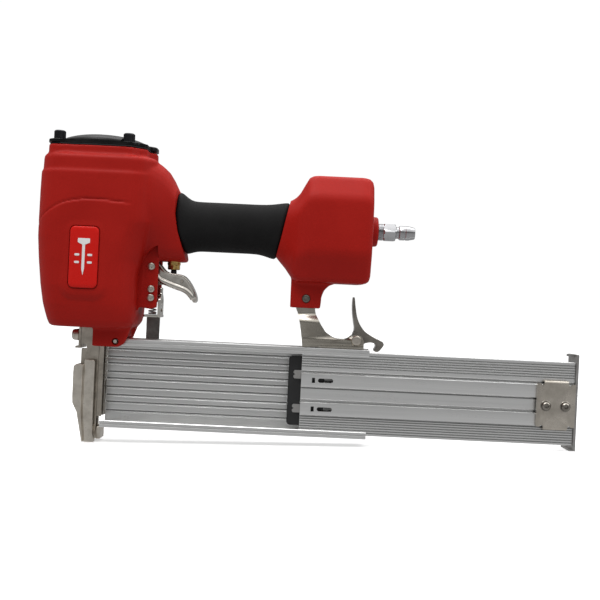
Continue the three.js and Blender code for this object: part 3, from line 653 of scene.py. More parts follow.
class NailerColours(bpy.types.PropertyGroup):
    """Colours a user would change."""

    casting: bpy.props.FloatVectorProperty(
        name="Casting", description="Powder coat of the casting", subtype="COLOR", size=3, min=0, max=1,
        default=(0.37, 0.008, 0.004),
    )
    # Lighter red for the pebble peaks and edges: a painted highlight, mixed with random tone and wear.
    casting_light: bpy.props.FloatVectorProperty(
        name="Casting peaks", description="Lighter peaks of the powder coat", subtype="COLOR", size=3,
        min=0, max=1,
        default=(0.5, 0.014, 0.008),
    )
    cap: bpy.props.FloatVectorProperty(
        name="Cap", description="Gloss paint of the cylinder cap", subtype="COLOR", size=3, min=0, max=1,
        default=(0.005, 0.005, 0.005),
    )
    grip: bpy.props.FloatVectorProperty(
        name="Grip", description="Rubber of the grip", subtype="COLOR", size=3, min=0, max=1,
        default=(0.009, 0.009, 0.0092),
    )
    nickel: bpy.props.FloatVectorProperty(
        name="Nickel", description="Plating of the brackets, foot and nose", subtype="COLOR", size=3, min=0,
        max=1,
        default=(0.66, 0.61, 0.54),
    )
    aluminium: bpy.props.FloatVectorProperty(
        name="Aluminium", description="Anodised magazine", subtype="COLOR", size=3, min=0, max=1,
        default=(0.86, 0.862, 0.855),
    )
    badge: bpy.props.FloatVectorProperty(
        name="Badge", description="Plate on the side of the head", subtype="COLOR", size=3, min=0, max=1,
        default=(0.66, 0.011, 0.007),
    )


class NailerSizes(bpy.types.PropertyGroup):
    """Sizes a user would change."""

    casting_grid: bpy.props.FloatProperty(
        name="Casting grid", description="Spacing of the cast surface, in millimetres", default=1.15,
        min=0.6, max=4,
    )
    casting_soft: bpy.props.IntProperty(
        name="Casting softness", description="Rounds of smoothing on the cast corners", default=4, min=0,
        max=30,
    )
    small_grid: bpy.props.FloatProperty(
        name="Small casting grid", description="Spacing on the trigger, latch and foot, in millimetres",
        default=0.5, min=0.3, max=2,
    )
    crease: bpy.props.FloatProperty(
        name="Crease depth", description="Depth of the lines in the head's sides, in millimetres",
        default=0.75, min=0, max=2,
    )
    rib: bpy.props.FloatProperty(
        name="Rib depth", description="Depth of the cover's fine ribs, in millimetres", default=0.95,
        min=0.1, max=1,
    )
    floor_reach: bpy.props.FloatProperty(
        name="Floor", description="Half the width of the studio floor", default=3.2, min=1, max=10,
        subtype="DISTANCE", unit="LENGTH",
    )


# ---------------------------------------------------------------- casting

HEAD_ROWS = (
    # height, front, rear, half width, corner radius
    (95.5, -33.6, 28.4, 31.6, 15.0),
    (97.0, -35.6, 31.5, 34.0, 16.5),
    (101.0, -37.0, 34.2, 36.0, 17.0),
    (107.0, -38.6, 35.2, 37.8, 17.5),
    (114.0, -40.4, 35.4, 39.6, 18.5),
    (129.0, -42.8, 35.8, 41.7, 20.0),
    (150.0, -45.0, 36.5, 42.6, 20.5),
    (168.0, -46.3, 42.0, 42.9, 20.5),
    (182.0, -46.4, 48.0, 43.0, 21.0),
    (205.0, -46.2, 49.0, 43.0, 21.0),
    (220.4, -45.8, 49.0, 43.0, 21.0),
    (221.2, -44.7, 48.8, 41.9, 20.5),
    (231.8, -44.3, 48.4, 41.6, 20.0),
    (233.8, -43.4, 47.0, 40.6, 19.0),
    (234.9, -41.6, 45.0, 38.8, 18.0),
)
NECK_COLUMNS = (
    # X, half width, lowest, highest, corner radius
    (18, 41.5, 165.0, 233.4, 12),
    (30, 41.0, 158.0, 233.8, 14),
    (40, 38.6, 154.0, 233.8, 17),
    (46, 35.4, 152.8, 233.2, 19),
    (50, 32.4, 152.3, 231.6, 20),
    (54, 29.2, 152.3, 228.4, 20),
    (58, 26.4, 152.3, 222.4, 20),
    (62, 23.8, 152.3, 214.6, 19),
    (66, 21.6, 152.3, 207.6, 18),
    (70, 19.6, 152.3, 203.6, 17),
    (73.2, 18.6, 152.8, 202.4, 16),
)
CAP_X = -3.0
BOLTS = [(CAP_X + 28 * sx, 29.5 * sy) for sx in (-1, 1) for sy in (-1, 1)]
PIVOT = (45.2, 147.7)  # the trigger's pin, X and Z
GUIDE_PINS = ((45.6, 129.1), (45.6, 121.9))
HANGER_BOLT = (174, 127)  # X and Z
NECK_PIN = (19, 84.6)  # X and Z
LATCH_PIVOT = (217.3, 94)  # X and Z
CLAMP_SCREW_X = (375, 391)
CLAMP_SCREW_Z = 48.2
HANDLE_Z = 183  # axis of the handle and of its air passage
PLUG_Z = 185.7  # axis of the air plug
VALVE_X = 62  # axis of the trigger valve


def flange_plan(inset=0.0):
    """The flange under the cap, seen from above: shallow scallops between its bolts."""
    ring = []
    for x, y in curve_points(rounded(-40 + inset, 40 - inset, -38 + inset, 38 - inset, 16, 5), 3):
        dip = 0.0
        if abs(y) > 30:
            dip = sum(2.6 * math.exp(-(((x - at) / 3.2) ** 2)) for at in (-20.5, 15.5, 34.0))
        if abs(x) > 34:
            x -= math.copysign(1.8 * math.exp(-(((abs(y) - 17.5) / 3.4) ** 2)), x)
        ring.append((x, y - math.copysign(dip, y)))
    return ring


CHAMBER_ROWS = (
    # along X, half width, bottom, top, corner softness
    (145.2, 16.9, 163.0, 203.0, 13.0),
    (150.0, 19.4, 157.2, 205.0, 12.0),
    (155.0, 23.0, 151.8, 206.2, 10.0),
    (159.0, 26.6, 146.2, 207.8, 8.0),
    (162.4, 29.8, 141.9, 209.8, 6.0),
    (165.4, 32.4, 140.8, 213.0, 5.0),
    (169.0, 34.4, 140.7, 219.6, 4.5),
    (172.4, 35.8, 140.7, 225.6, 4.5),
    (175.6, 36.6, 140.7, 227.4, 4.5),
    (180.0, 37.0, 140.7, 227.8, 4.5),
    (217.0, 37.0, 140.7, 227.8, 4.5),
    (221.6, 36.4, 141.2, 227.0, 4.5),
    (224.4, 34.8, 143.0, 224.6, 5.0),
    (225.4, 32.4, 146.0, 221.4, 5.0),
)
GRIP_FRONT = ((216, 64.3), (205, 64.0), (192, 63.6), (178, 66.0), (165, 69.9), (154, 73.3))
GRIP_REAR = ((216, 158.8), (206, 157.2), (176, 151.0), (154, 145.6))


def chamber_ring(x, half, low, high, soft):
    """One section of the rear chamber: a flat side with sloping facets over and under it."""
    height = high - low
    lean = half * 0.3
    side = [
        (half - lean, low), (half, low + height * 0.28), (half, low + height * 0.79), (half - lean, high),
        (lean - half, high), (-half, low + height * 0.79), (-half, low + height * 0.28), (lean - half, low),
    ]
    return [(x, y, z) for y, z in softened(side, soft, 6)]


def neck_ring(x, half, low, high, soft):
    """One section of the neck between head and handle, narrower underneath."""
    under = min(half - 1, 15.5)
    side = [(-under, low), (under, low), (half, low + 34), (half, high), (-half, high), (-half, low + 34)]
    return [(x, y, z) for y, z in softened(side, soft, 6)]


def handle_bar(half, height, x0, x1):
    """An oval bar on the handle's axis."""
    bar = rod(half, x0, x1, 40).moved(TO_X)
    return bar.moved(Matrix.Diagonal((1, 1, height / half, 1))).shifted(z=HANDLE_Z)


def path_distance(x, z, path):
    """Distance from a point to a line of points, and which side of it the point is on."""
    best, side = 1e9, 1.0
    for (ax, az), (bx, bz) in zip(path, path[1:]):
        dx, dz = bx - ax, bz - az
        t = max(0.0, min(1.0, ((x - ax) * dx + (z - az) * dz) / (dx * dx + dz * dz)))
        px, pz = ax + t * dx, az + t * dz
        gap = math.hypot(x - px, z - pz)
        if gap < best:
            best = gap
            side = 1.0 if (dx * (z - az) - dz * (x - ax)) < 0 else -1.0
    return best, side


def line_at(table, z):
    """The X of an edge at a height, from its rows of height and X."""
    rows = sorted(table)
    for (z0, x0), (z1, x1) in zip(rows, rows[1:]):
        if z <= z1:
            return x0 + (x1 - x0) * max(0.0, min(1.0, (z - z0) / (z1 - z0)))
    return rows[-1][1]


def grip_sleeve(play):
    """The side view of the room that the grip fills."""
    front = [(x - play, z) for z, x in GRIP_FRONT]
    rear = [(x + play, z) for z, x in reversed(GRIP_REAR)]
    return front + rear


def build_casting(sizes):
    head = loft([[(x, y, z) for x, y in rounded(x0, x1, -h, h, r, 8)] for z, x0, x1, h, r in HEAD_ROWS])
    flange = prism(flange_plan(), 225, 242, "Z")
    lobe = prism(rounded(18, 44.4, -11.5, 11.5, 9, 6), 222, 242, "Z")
    neck = loft([neck_ring(*column) for column in NECK_COLUMNS])
    core = handle_bar(14.4, 17.4, 60, 165)
    chamber = loft([chamber_ring(*row) for row in CHAMBER_ROWS])
    post = prism(
        [
            (160.8, 160), (161, 119.3), (186, 119.3), (186.6, 129), (188.6, 134.6), (192.6, 138.6),
            (199, 141.2), (199, 160)
        ],
        -13, 13,
    )
    boss = turned(
        [(12.5, 215), (12.5, 229.6), (12.2, 230.8), (11.4, 231.5)], 40
    ).moved(TO_X).shifted(z=PLUG_Z)
    ear_near = prism(
        [
            (25, 170), (25, 116), (33, 114.4), (38, 113.2), (45, 112.6), (49.4, 113.2), (50.8, 115.0),
            (50.8, 160)
        ], -13, -8.3
    )
    ear_far = prism([(25, 170), (25, 119), (38, 118), (48, 118), (50.8, 120), (50.8, 160)], 8.3, 13)
    cheeks = [
        prism([(0, 99), (0, 80), (21, 80), (25.4, 82.4), (27.8, 87), (30, 93), (32, 99)], y0, y1)
        for y0, y1 in ((-18, -13.4), (12.4, 18))
    ]
    block_top = block(7.7, 27, -18, 18, 87.6, 99)
    pad = loft([
        [
            (x, y, z) for x,
            z in rounded(-18.2 - spread, 9.8 + spread, 124.8 - spread, 178.4 + spread, 6 + spread)
        ]
        for y, spread in ((-43.2, 0), (-42.6, 3), (-41.2, 6))
    ])
    bosses = [rod(8.2, 226, 242, 32).shifted(x, y) for x, y in BOLTS]
    whole = head.plus(
        flange, lobe, neck, core, chamber, post, boss, ear_near, ear_far, *cheeks, block_top, pad, *bosses
    )
    ob = as_object("casting", whole)
    cast_skin(ob, sizes.casting_grid, sizes.casting_soft)

    arc = curve_points([
        (-46.6, 171), (-45.4, 176.5), (-42.6, 181.6), (-37.0, 186.4), (-29.6, 191.4), (-20.0, 195.8),
        (-8.0, 198.0),
        (4.0, 198.4), (16.0, 197.6), (27.0, 196.6), (33.0, 196.6),
    ], 5, False)
    for v in ob.data.vertices:
        x, y, z = (c / MM for c in v.co)
        if x > 44 or z < 150 or z > 240:
            continue
        fade = max(0.0, min(1.0, (33 - x) / 9))
        gap, side = path_distance(x, z, arc)
        groove = math.exp(-((gap / 0.75) ** 2)) * fade
        raised = fade * max(0.0, 1 - gap / 16.0) * 0.7 if side > 0 and gap > 0.6 else 0.0
        flat_side = abs(y) > 30
        inward = Vector((0, -math.copysign(1, y), 0)) if flat_side else Vector((math.copysign(1, -x), 0, 0))
        v.co += inward * (sizes.crease * groove - (raised if flat_side else 0.0)) * MM
    sleeve = prism(grip_sleeve(0.25), -32, 32)
    keep = handle_bar(14.3, 17.3, 50, 175)
    carve(ob, [sleeve])
    facet = curve_points([
        (34.6, 135), (35.2, 143), (37.4, 150.6), (41.2, 157.4), (46.0, 162.4), (50.9, 165.0),
    ], 5, False)
    carve(ob, [prism([(34.6, 111), *facet, (50.9, 111)], -60, -13.1)])
    carve(ob, [keep], "UNION")
    pocket = prism(rounded(-16.4, 8.0, 126.4, 177.0, 4.6), -46, -42.0)
    holes = [cross_rod(2.6, -30, 30, 24, x, z) for x, z in (PIVOT, *GUIDE_PINS)]
    hanger_through = cross_rod(3.3, -30, 30, 24, *HANGER_BOLT)
    tools = [
        pocket, *holes, hanger_through,
        cross_rod(3.9, 12.2, 30, 32, *HANGER_BOLT),
        rod(5.8, 140, 178, 32).shifted(x=VALVE_X),
        cross_rod(1.7, -30, 30, 16, *NECK_PIN),
        cross_rod(2.9, 13.6, 30, 24, *NECK_PIN),
        block(162.6, 184.4, -10.3, 10.3, 110, 135),
        rod(6.1, 214, 240, 32).moved(TO_X).shifted(z=PLUG_Z),
        turned([(27.5, 112), (30, 118), (30, 234), (27, 246)], 48),
        rod(6.5, 80, 114, 24),
        rod(9.5, 24, 175, 32).moved(TO_X).shifted(z=HANDLE_Z),
    ]
    tools += [rod(3.3, 220, 246, 20).shifted(x, y) for x, y in BOLTS]
    carve(ob, tools)
    return dress(ob, LOOK["red"], "housing", "red_casting", "body_casting", angle=50)


# ---------------------------------------------------------------- cap


DOME = (
    (36.0, 243.6), (36.8, 245.2), (36.8, 246.6), (36.4, 247.8), (35.2, 248.9), (33.2, 249.9), (30.6, 250.9),
    (28.0, 251.7),
    (25.0, 252.5), (22.0, 253.1), (18.0, 253.7), (14.0, 254.2), (10.0, 254.5), (6.0, 254.7), (2.0, 254.8),
    (0.0, 254.8),
)


def build_cap():
    plate = prism(flange_plan(0.1), 243.4, 245.8, "Z")
    ear = loft([
        [(x, y, z) for x, y in rounded(20, x1, -h, h, 8, 6)]
        for z, x1, h in ((243.4, 44.4, 11.2), (246.2, 44.4, 11.2), (247.0, 43.8, 10.6))
    ])
    bosses = [turned([(8.4, 243.4), (8.4, 245.6), (8.0, 246.0)], 36).shifted(x, y) for x, y in BOLTS]
    gussets = []
    for x, y in BOLTS:
        away = math.atan2(y, x)
        gussets.append(block(24, 37.5, -2.0, 2.0, 243.6, 247.4).moved(Matrix.Rotation(away, 4, "Z")))
    ob = as_object("cap", plate)
    carve(ob, [ear, turned(DOME, 96), *bosses, *gussets], "UNION")
    cuts = [rod(3.3, 240, 260, 20).shifted(x, y) for x, y in BOLTS]
    cuts += [rod(6.2, 246.05, 262, 32).shifted(x, y) for x, y in BOLTS]
    cuts.append(turned([(31, 240), (31, 246), (26, 249.2), (20, 250.2), (2, 250.2)], 64))
    carve(ob, cuts)
    edges_rounded(ob, 0.4, 3, 40)
    return dress(freeze(ob), LOOK["cap"], "housing", "black_casting", "cylinder_cap")


def build_gasket():
    ob = as_object("gasket", prism(flange_plan(0.35), 242.2, 243.2, "Z"))
    cuts = [rod(33, 240, 246, 64)]
    cuts += [rod(3.3, 240, 246, 20).shifted(x, y) for x, y in BOLTS]
    carve(ob, cuts)
    tab = prism(rounded(-42.6, -38.8, -14.0, -9.6, 0.8), 241.6, 243.2, "Z")
    carve(ob, [tab], "UNION")
    return dress(ob, LOOK["soft"], "housing", "gasket_rubber", "cap_gasket")


def socket_screw(head_r, head_h, flats, shank_r, shank, ridged=0.0, dome=0.0, n=60):
    """A socket-head screw standing on Z = 0, its shank below."""
    shape = (lambda r, z: knurl(r, ridged, z, n)) if ridged else (lambda r, z: circle(r, z, n))
    rings = [
        circle(shank_r * 0.75, -shank, n), circle(shank_r, -shank + 0.8, n), circle(shank_r, -0.5, n),
        circle(shank_r + 0.3, 0, n), circle(head_r - 0.5, 0, n), shape(head_r, 0.5),
        shape(head_r, head_h - 0.9 - dome),
        circle(head_r - 0.35, head_h - 0.45 - dome, n),
    ]
    if dome:
        rings += [
            circle(head_r * 0.9, head_h - 0.6 * dome, n), circle(head_r * 0.72, head_h - 0.2 * dome, n)
        ]
    rings += [
        circle(max(head_r - 1.0 - dome, flats / 2 * 1.22), head_h, n), circle(flats / 2 * 1.17, head_h, n),
        hexagon(flats, head_h - 0.5, n), hexagon(flats, head_h * 0.45, n),
        circle(flats * 0.2, head_h * 0.38, n),
    ]
    return loft(rings)


def build_cap_screws():
    for number, (x, y) in enumerate(BOLTS, 1):
        form = socket_screw(4.7, 7.4, 4.4, 2.95, 23, 0.16).moved(Matrix.Rotation(number * 0.4, 4, "Z"))
        ob = as_object(f"cap_screw_{number}", form.shifted(x, y, 246.1))
        dress(ob, LOOK["oxide"], "housing", "bolt_black", f"cap_bolt_{number}", angle=30)


# ---------------------------------------------------------------- grip and plug


def build_grip():
    rows, n = 56, 72

    def ring(u, inner):
        points = []
        flare_f = math.exp(-((u / 0.1) ** 2))
        flare_r = math.exp(-(((1 - u) / 0.14) ** 2))
        swell = 0.35 * math.sin(math.pi * u)
        lip = 0.0
        for edge in (u, 1 - u):
            if edge < 0.022:
                lip = -1.3 * (1 - edge / 0.022) ** 2
        for i in range(n):
            a = 2 * math.pi * i / n
            c, s = math.cos(a), math.sin(a)
            if inner:
                y, z = 14.75 * c, HANDLE_Z + 17.75 * s
            else:
                ry = 17.8 + swell + 1.6 * flare_f + 1.6 * flare_r + lip
                up = 20.8 + 0.2 * swell + 7.4 * flare_f**1.3 + 2.6 * flare_r + lip
                down = 20.6 + 0.2 * swell + 2.6 * flare_f + 3.6 * flare_r + lip
                power = 2.15
                y = ry * math.copysign(abs(c) ** (2 / power), c)
                z = HANDLE_Z + (up if s > 0 else down) * math.copysign(abs(s) ** (2 / power), s)
            start, end = line_at(GRIP_FRONT, z), line_at(GRIP_REAR, z)
            points.append((start + (end - start) * u, y, z))
        return points

    outer = [ring(i / rows, False) for i in range(rows + 1)]
    inner = [ring(i / 8, True) for i in range(8, -1, -1)]
    ob = as_object("grip", loft(outer + inner, closed=True))
    return dress(ob, LOOK["rubber"], "housing", "grip_rubber", "rubber_grip", angle=60)


def build_plug():
    n = 60
    rings = [circle(5.7, 222, n), circle(5.7, 231.2, n)]
    for k in range(4):
        z = 231.7 + k * 1.05
        rings += [
            circle(6.5, z, n), circle(7.1, z + 0.35, n), circle(7.1, z + 0.6, n), circle(6.5, z + 0.95, n)
        ]
    rings += [
        circle(6.6, 236.1, n), circle(7.0, 236.3, n), hexagon(13.9, 237.1, n), hexagon(13.9, 245.2, n),
        circle(6.9, 246.1, n), circle(5.3, 246.6, n), circle(4.9, 247.2, n), circle(4.9, 248.8, n),
        circle(5.8, 249.6, n),
        circle(6.0, 250.1, n), circle(6.0, 253.6, n), circle(5.75, 253.9, n), circle(5.75, 254.5, n),
        circle(6.0, 254.9, n),
        circle(6.0, 257.2, n), circle(5.5, 259.4, n), circle(5.05, 261.6, n), circle(4.75, 262.4, n),
        circle(4.3, 262.6, n),
        circle(3.2, 262.6, n), circle(2.8, 262.1, n), circle(2.8, 215, n), circle(5.4, 215, n),
        circle(5.7, 215.4, n),
    ]
    form = loft(rings, closed=True).moved(TO_X).shifted(z=PLUG_Z)
    return dress(
        as_object("air_plug_body", form), LOOK["plug"], "housing", "plug_chrome", "air_plug", angle=28
    )


def build_badge():
    outline = rounded(-15.6, 7.2, 127.2, 176.2, 4.2, 8)
    centre = (-4.2, 151.7)

    def ring(inset, y):
        return [
            (
                centre[0] + (x - centre[0]) * (1 - inset / 11.4), y,
                centre[1] + (z - centre[1]) * (1 - inset / 24.5)
            )
            for x, z in outline
        ]

    plate = loft(
        [
            ring(0.1, -42.3), ring(0, -42.6), ring(0, -43.9), ring(0.25, -44.4), ring(0.9, -44.7),
            ring(3.0, -44.9)
        ]
    )
    dress(as_object("badge", plate), LOOK["badge"], "housing", "badge_red", "badge_plate", angle=40)
    nail = [
        (-5.3, 161.6), (-9.0, 163.2), (-9.0, 166.6), (0.6, 166.6), (0.6, 163.2), (-3.1, 161.6),
        (-3.1, 142.4), (-4.2, 137.2),
        (-5.3, 142.4),
    ]
    bars = [rounded(x0, x1, z0, z1, 0.7, 4) for x0, x1, z0, z1 in (
        (-11.2, -7.4, 152.6, 154.4), (-1.0, 2.8, 152.6, 154.4), (-11.2, -7.4, 146.6, 148.4),
        (-1.0, 2.8, 146.6, 148.4),
    )]
    mark = prism(softened(nail, 0.5), -45.15, -44.7)
    for bar in bars:
        mark = mark.plus(prism(bar, -45.15, -44.7))
    return dress(as_object("badge_mark", mark), LOOK["mark"], "housing", "badge_red", angle=30)


# ---------------------------------------------------------------- trigger and valve

TRIGGER_TOP = (
    (41.0, 149.6), (42.6, 151.8), (45.2, 152.3), (48.2, 151.9), (50.8, 150.0), (55.0, 145.2), (58.5, 143.5),
               (63.1, 142.9), (70.6, 141.6), (75.9, 137.0), (80.4, 129.6), (82.6, 124.0))
TRIGGER_LOW = (
    (82.7, 120.8), (81.4, 119.2), (79.8, 119.8), (78.0, 122.6), (73.1, 126.9), (63.7, 129.9), (56.6, 132.4),
               (50.4, 134.8), (47.0, 138.2), (44.2, 142.4), (42.0, 144.8), (41.0, 147.0))


def build_trigger(sizes):
    outline = curve_points(list(TRIGGER_TOP + TRIGGER_LOW), 4)
    lower = curve_points([
        (79.8, 122.4), (77.2, 125.8), (72.6, 129.4), (63.8, 132.4), (57.0, 134.8), (51.4, 137.2),
        (48.0, 140.8),
    ], 5, False)
    upper = curve_points(
        [
            (46.0, 151.0), (50.4, 149.2), (55.0, 144.4), (59.0, 142.4), (63.3, 141.8), (70.2, 140.4),
            (75.0, 136.2),
                          (79.4, 129.2), (81.4, 123.6)], 5, False)
    form = prism(outline, -6.3, 6.3)
    for side in (-5.9, 5.9):
        form = form.plus(
            tube([(x, side * 0.86, z) for x, z in lower], 2.4, 16),
            tube([(x, side, z) for x, z in upper], 0.95, 12)
        )
    ob = as_object("trigger_lever", form)
    cast_skin(ob, sizes.small_grid, 2)
    channel = [(30, 160), (30, 120), (57, 120), (57, 133.2), (66, 131.6), (73.6, 129.6), (74, 160)]
    carve(ob, [prism(channel, -4.7, 4.7)])
    holes = [
        cross_rod(2.5, -20, 20, 24, *PIVOT),
        cross_rod(1.4, -20, 20, 16, 70, 136.5),
    ]
    carve(ob, holes)
    dress(ob, LOOK["chrome"], "trigger", "trigger_chrome", "trigger", angle=50)
    pins = {"trigger_pin": PIVOT, "guide_pin_1": GUIDE_PINS[0], "guide_pin_2": GUIDE_PINS[1]}
    for node, (x, z) in pins.items():
        head = socket_screw(3.0, 1.9, 2.8, 2.15, 27.0, 0.0, 0.6, 48)
        ob = as_object(f"{node}_screw", head.moved(TO_NEAR).shifted(x, -13.1, z))
        dress(ob, LOOK["nickel"], "housing", "pin_steel", node, angle=30)
    return finish_node("trip_lever", LOOK["nickel"], 0.3)


def build_valve():
    n = 60
    rings = [circle(2.8, 146, n), circle(4.6, 146, n), circle(5.0, 146.3, n)]
    rings += [
        hexagon(9.6, 146.8, n), hexagon(9.6, 149.4, n), circle(5.2, 149.9, n), circle(5.5, 150.2, n),
        circle(5.5, 151.6, n), circle(5.2, 151.9, n), circle(5.45, 152.4, n), circle(5.45, 172, n),
        circle(2.8, 172, n),
    ]
    body = loft(rings, closed=True).shifted(x=VALVE_X)
    dress(as_object("valve_body", body), LOOK["brass"], "housing", "valve_brass", "trigger_valve", angle=28)
    stem = turned(
        [(1.6, 140.1), (2.1, 140.5), (2.1, 142.0), (2.45, 142.4), (2.45, 145.2), (2.3, 145.5), (2.3, 172.4),
                   (4.6, 172.4), (4.6, 174.2), (4.2, 174.6)], 40).shifted(x=VALVE_X)
    return dress(
        as_object("valve_pin", stem), LOOK["oxide"], "valve_stem", "black_steel", "valve_stem", angle=28
    )


# ---------------------------------------------------------------- safety


def build_safety(sizes):
    face = [
        (-9.9, 105.9), (9.9, 105.9), (9.9, 120.4), (7.0, 123.7), (4.0, 125.5), (4.0, 130.5), (-4.0, 130.5),
        (-4.0, 125.5),
            (-7.0, 123.7), (-9.9, 120.4)]
    ob = as_object("yoke", prism(softened(face, 1.2), 51.3, 53.3, "X"))
    carve(ob, [prism(rounded(38.8, 53.2, -7.9, 14.9, 1.6), 105.7, 107.5, "Z")], "UNION")
    slots = [prism(rounded(y - 1.5, y + 1.5, 116.6, 121.8, 1.3), 45, 57, "X") for y in (-4.2, 4.2)]
    slots.append(prism(rounded(-5.2, 5.2, 110.4, 113.0, 1.1), 45, 57, "X"))
    carve(ob, slots)
    edges_rounded(ob, 0.45, 3, 35)
    dress(freeze(ob), LOOK["chrome"], "safety", "yoke_chrome", "safety_yoke")
    spring = coil(3.0, 0.55, 107.9, 119.3, 5.5).shifted(x=45.6)
    wound = dress(
        as_object("safety_coil", spring), LOOK["steel"], "housing", "tool_steel", "safety_spring", angle=60
    )
    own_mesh(wound)
    finish_node("safety_link", LOOK["link"], 0.7)

    front = [
        (-6.4, 0.6), (-11.6, 24.9), (-15.2, 31.4), (-15.7, 36), (-15.8, 58), (-15.4, 62.6), (-14.0, 64.0),
        (-8.6, 64.0), (-7.5, 62.6), (-7.0, 40), (-7.0, 24), (-4.4, 0.2),
    ]
    rear = [
        (-6.9, 24), (-6.7, 66.6), (-5.6, 68.2), (0.4, 68.2), (1.7, 66.8), (1.7, 30), (1.9, 7.0), (3.4, 3),
        (3.4, 0.1), (-4.8, 0.1)
    ]
    near = prism(softened(front, 0.8), -11.9, -8).plus(prism(softened(rear, 0.8), -11.5, -8))
    shell = as_object("foot", prism([
        (-6.6, 0.1), (3.4, 0.1), (3.4, 3), (1.9, 7.0), (1.7, 30), (1.7, 66.6), (0, 68.1), (-6.7, 68.1),
        (-7.5, 64), (-14.2, 64),
        (-15.8, 62), (-15.5, 32.1), (-11.7, 24.7),
    ], -11.2, 11.9))
    carve(shell, [near, block(1, 7.3, -4.6, 11.9, 2, 12.2)], "UNION")
    carve(shell, [
        block(-9.5, 12, -8.1, 8.6, 24.7, 80), block(-8.9, 12, -8.1, 8.6, 13.0, 25.6),
        block(-5.1, 4.0, -5.6, 8.7, -5, 25.6), block(-12.4, -9, -3.5, 3.5, 24.7, 80),
        prism([(-7.9, 66), (-6.6, 66), (-6.5, 24), (-4.0, -1), (-5.3, -1), (-7.8, 24)], -13, -10.0),
    ])
    cast_skin(shell, sizes.small_grid * 0.9, 3)
    dress(shell, LOOK["nickel_cast"], "safety", "foot_steel", "safety_foot", angle=60)


# ---------------------------------------------------------------- nose


def build_nose():
    for node, bevel in (("nose_base", 0.7), ("front_plate", 0.5), ("nose_guide", 0.5), ("feed_gate", 0.4)):
        finish_node(node, LOOK["nose"], bevel)
    for node in ("neck_pin", "neck_pin_near"):
        finish_node(node, LOOK["nickel"], 0.3)
    for number, y in ((1, -7.5), (2, 7.5)):
        screw = socket_screw(4.7, 6.2, 3.4, 2.5, 17.5, 0.12, 1.4)
        form = screw.moved(Matrix.Rotation(-math.pi / 2, 4, "Y")).shifted(-12.5, y, 88.4)
        ob = as_object(f"nose_screw_{number}", form)
        dress(ob, LOOK["nickel"], "housing", "pin_steel", f"nose_bolt_{number}", angle=30)


# ---------------------------------------------------------------- magazine


def build_rail():
    top, low, near, far = 87.0, 13.0, -13.0, 12.0
    inner_top, inner_low, wall = 84.9, 15.4, 9.4
    section = [(near + 0.5, low), (far - 0.8, low), (far, low + 0.8)]
    for z in (26, 39, 61, 74):
        section += [(far, z - 1.2), (far - 0.7, z - 0.8), (far - 0.7, z + 0.8), (far, z + 1.2)]
    section += [
        (far, top - 0.8), (far - 0.8, top), (near + 0.7, top), (near + 0.2, top - 0.3), (near, top - 0.9)
    ]
    section += [(near, top - 2.6), (near + 0.35, top - 2.9), (near + 0.35, top - 3.3), (near, top - 3.6)]
    section += [
        (near, top - 5.3), (near + 0.4, top - 5.8), (near + 1.8, top - 5.8), (near + 1.8, inner_top),
        (wall, inner_top)
    ]
    for depth in (9.7, 16.5, 22, 29.2, 34.8, 42, 48.9, 54.8, 62):
        z = top - depth
        section += [
            (wall - 0.5, z + 1.9), (wall - 0.5, z + 0.5), (wall + 1.2, z + 0.45), (wall + 1.2, z - 0.3)
        ]
        section += [(wall - 0.3, z - 0.35), (wall - 0.3, z - 1.3), (wall, z - 1.7)]
    section += [
        (wall, inner_low), (near + 1.8, inner_low), (near + 1.8, low + 5.8), (near + 0.4, low + 5.8),
        (near, low + 5.3)
    ]
    section += [
        (near, low + 3.4), (near + 0.35, low + 3.1), (near + 0.35, low + 2.7), (near, low + 2.4),
        (near, low + 0.6)
    ]
    ob = as_object("rail", prism(section, 7.9, 228.5, "X"))
    edges_rounded(ob, 0.12, 1, 60)
    return dress(freeze(ob), LOOK["rail"], "housing", "rail_aluminium", "magazine_rail", angle=25)


def cover_section(rib):
    out, inner = -10.9, -7.9
    top, low = 84.5, 15.7
    raised = 2.5

    def ribs(high):
        """Six fine grooves below a height."""
        points = []
        for k in range(6):
            z = high - k * 2.05
            points += [(out, z), (out + rib, z - 0.15), (out + rib, z - 0.85), (out, z - 1.0)]
        return points

    section = [(out + 0.25, top), (out, top - 0.25)]
    section += ribs(top - 2.4)
    section += [(out, 68.0), (out + 0.2, 67.6), (out + 1.5, 67.3), (out + 1.5, 66.2), (out, 66.1)]

    def bead(high, bottom):
        return [
            (out, high + 0.4), (out - raised + 0.5, high), (out - raised + 0.1, high - 0.3),
            (out - raised, high - 0.8),
            (out - raised, bottom + 0.9), (out - raised + 0.15, bottom + 0.35),
            (out - raised + 0.6, bottom), (out, bottom - 0.2),
        ]

    section += bead(65.5, 54.3)
    section += [
        (out + 1.5, 54.0), (out + 1.5, 52.9), (out, 52.8), (out, 44.2), (out + 0.3, 43.9),
        (out + 1.5, 43.6), (out + 1.5, 42.3), (out, 42.1)
    ]
    section += bead(41.7, 30.9)
    section += [(out + 1.5, 30.6), (out + 1.5, 29.6), (out, 29.4)]
    section += ribs(28.6)
    section += [(out, low + 0.3), (out + 0.3, low), (-5, low), (-5, low + 2), (inner, low + 2)]
    for bottom, high in ((30.8, 41.7), (54.3, 65.6)):
        section += [
            (inner, bottom + 1.6), (out - raised + 1.6, bottom + 1.8), (out - raised + 1.6, high - 1.8),
            (inner, high - 1.6)
        ]
    section += [(inner, top - 2), (-5, top - 2), (-5, top)]
    return section


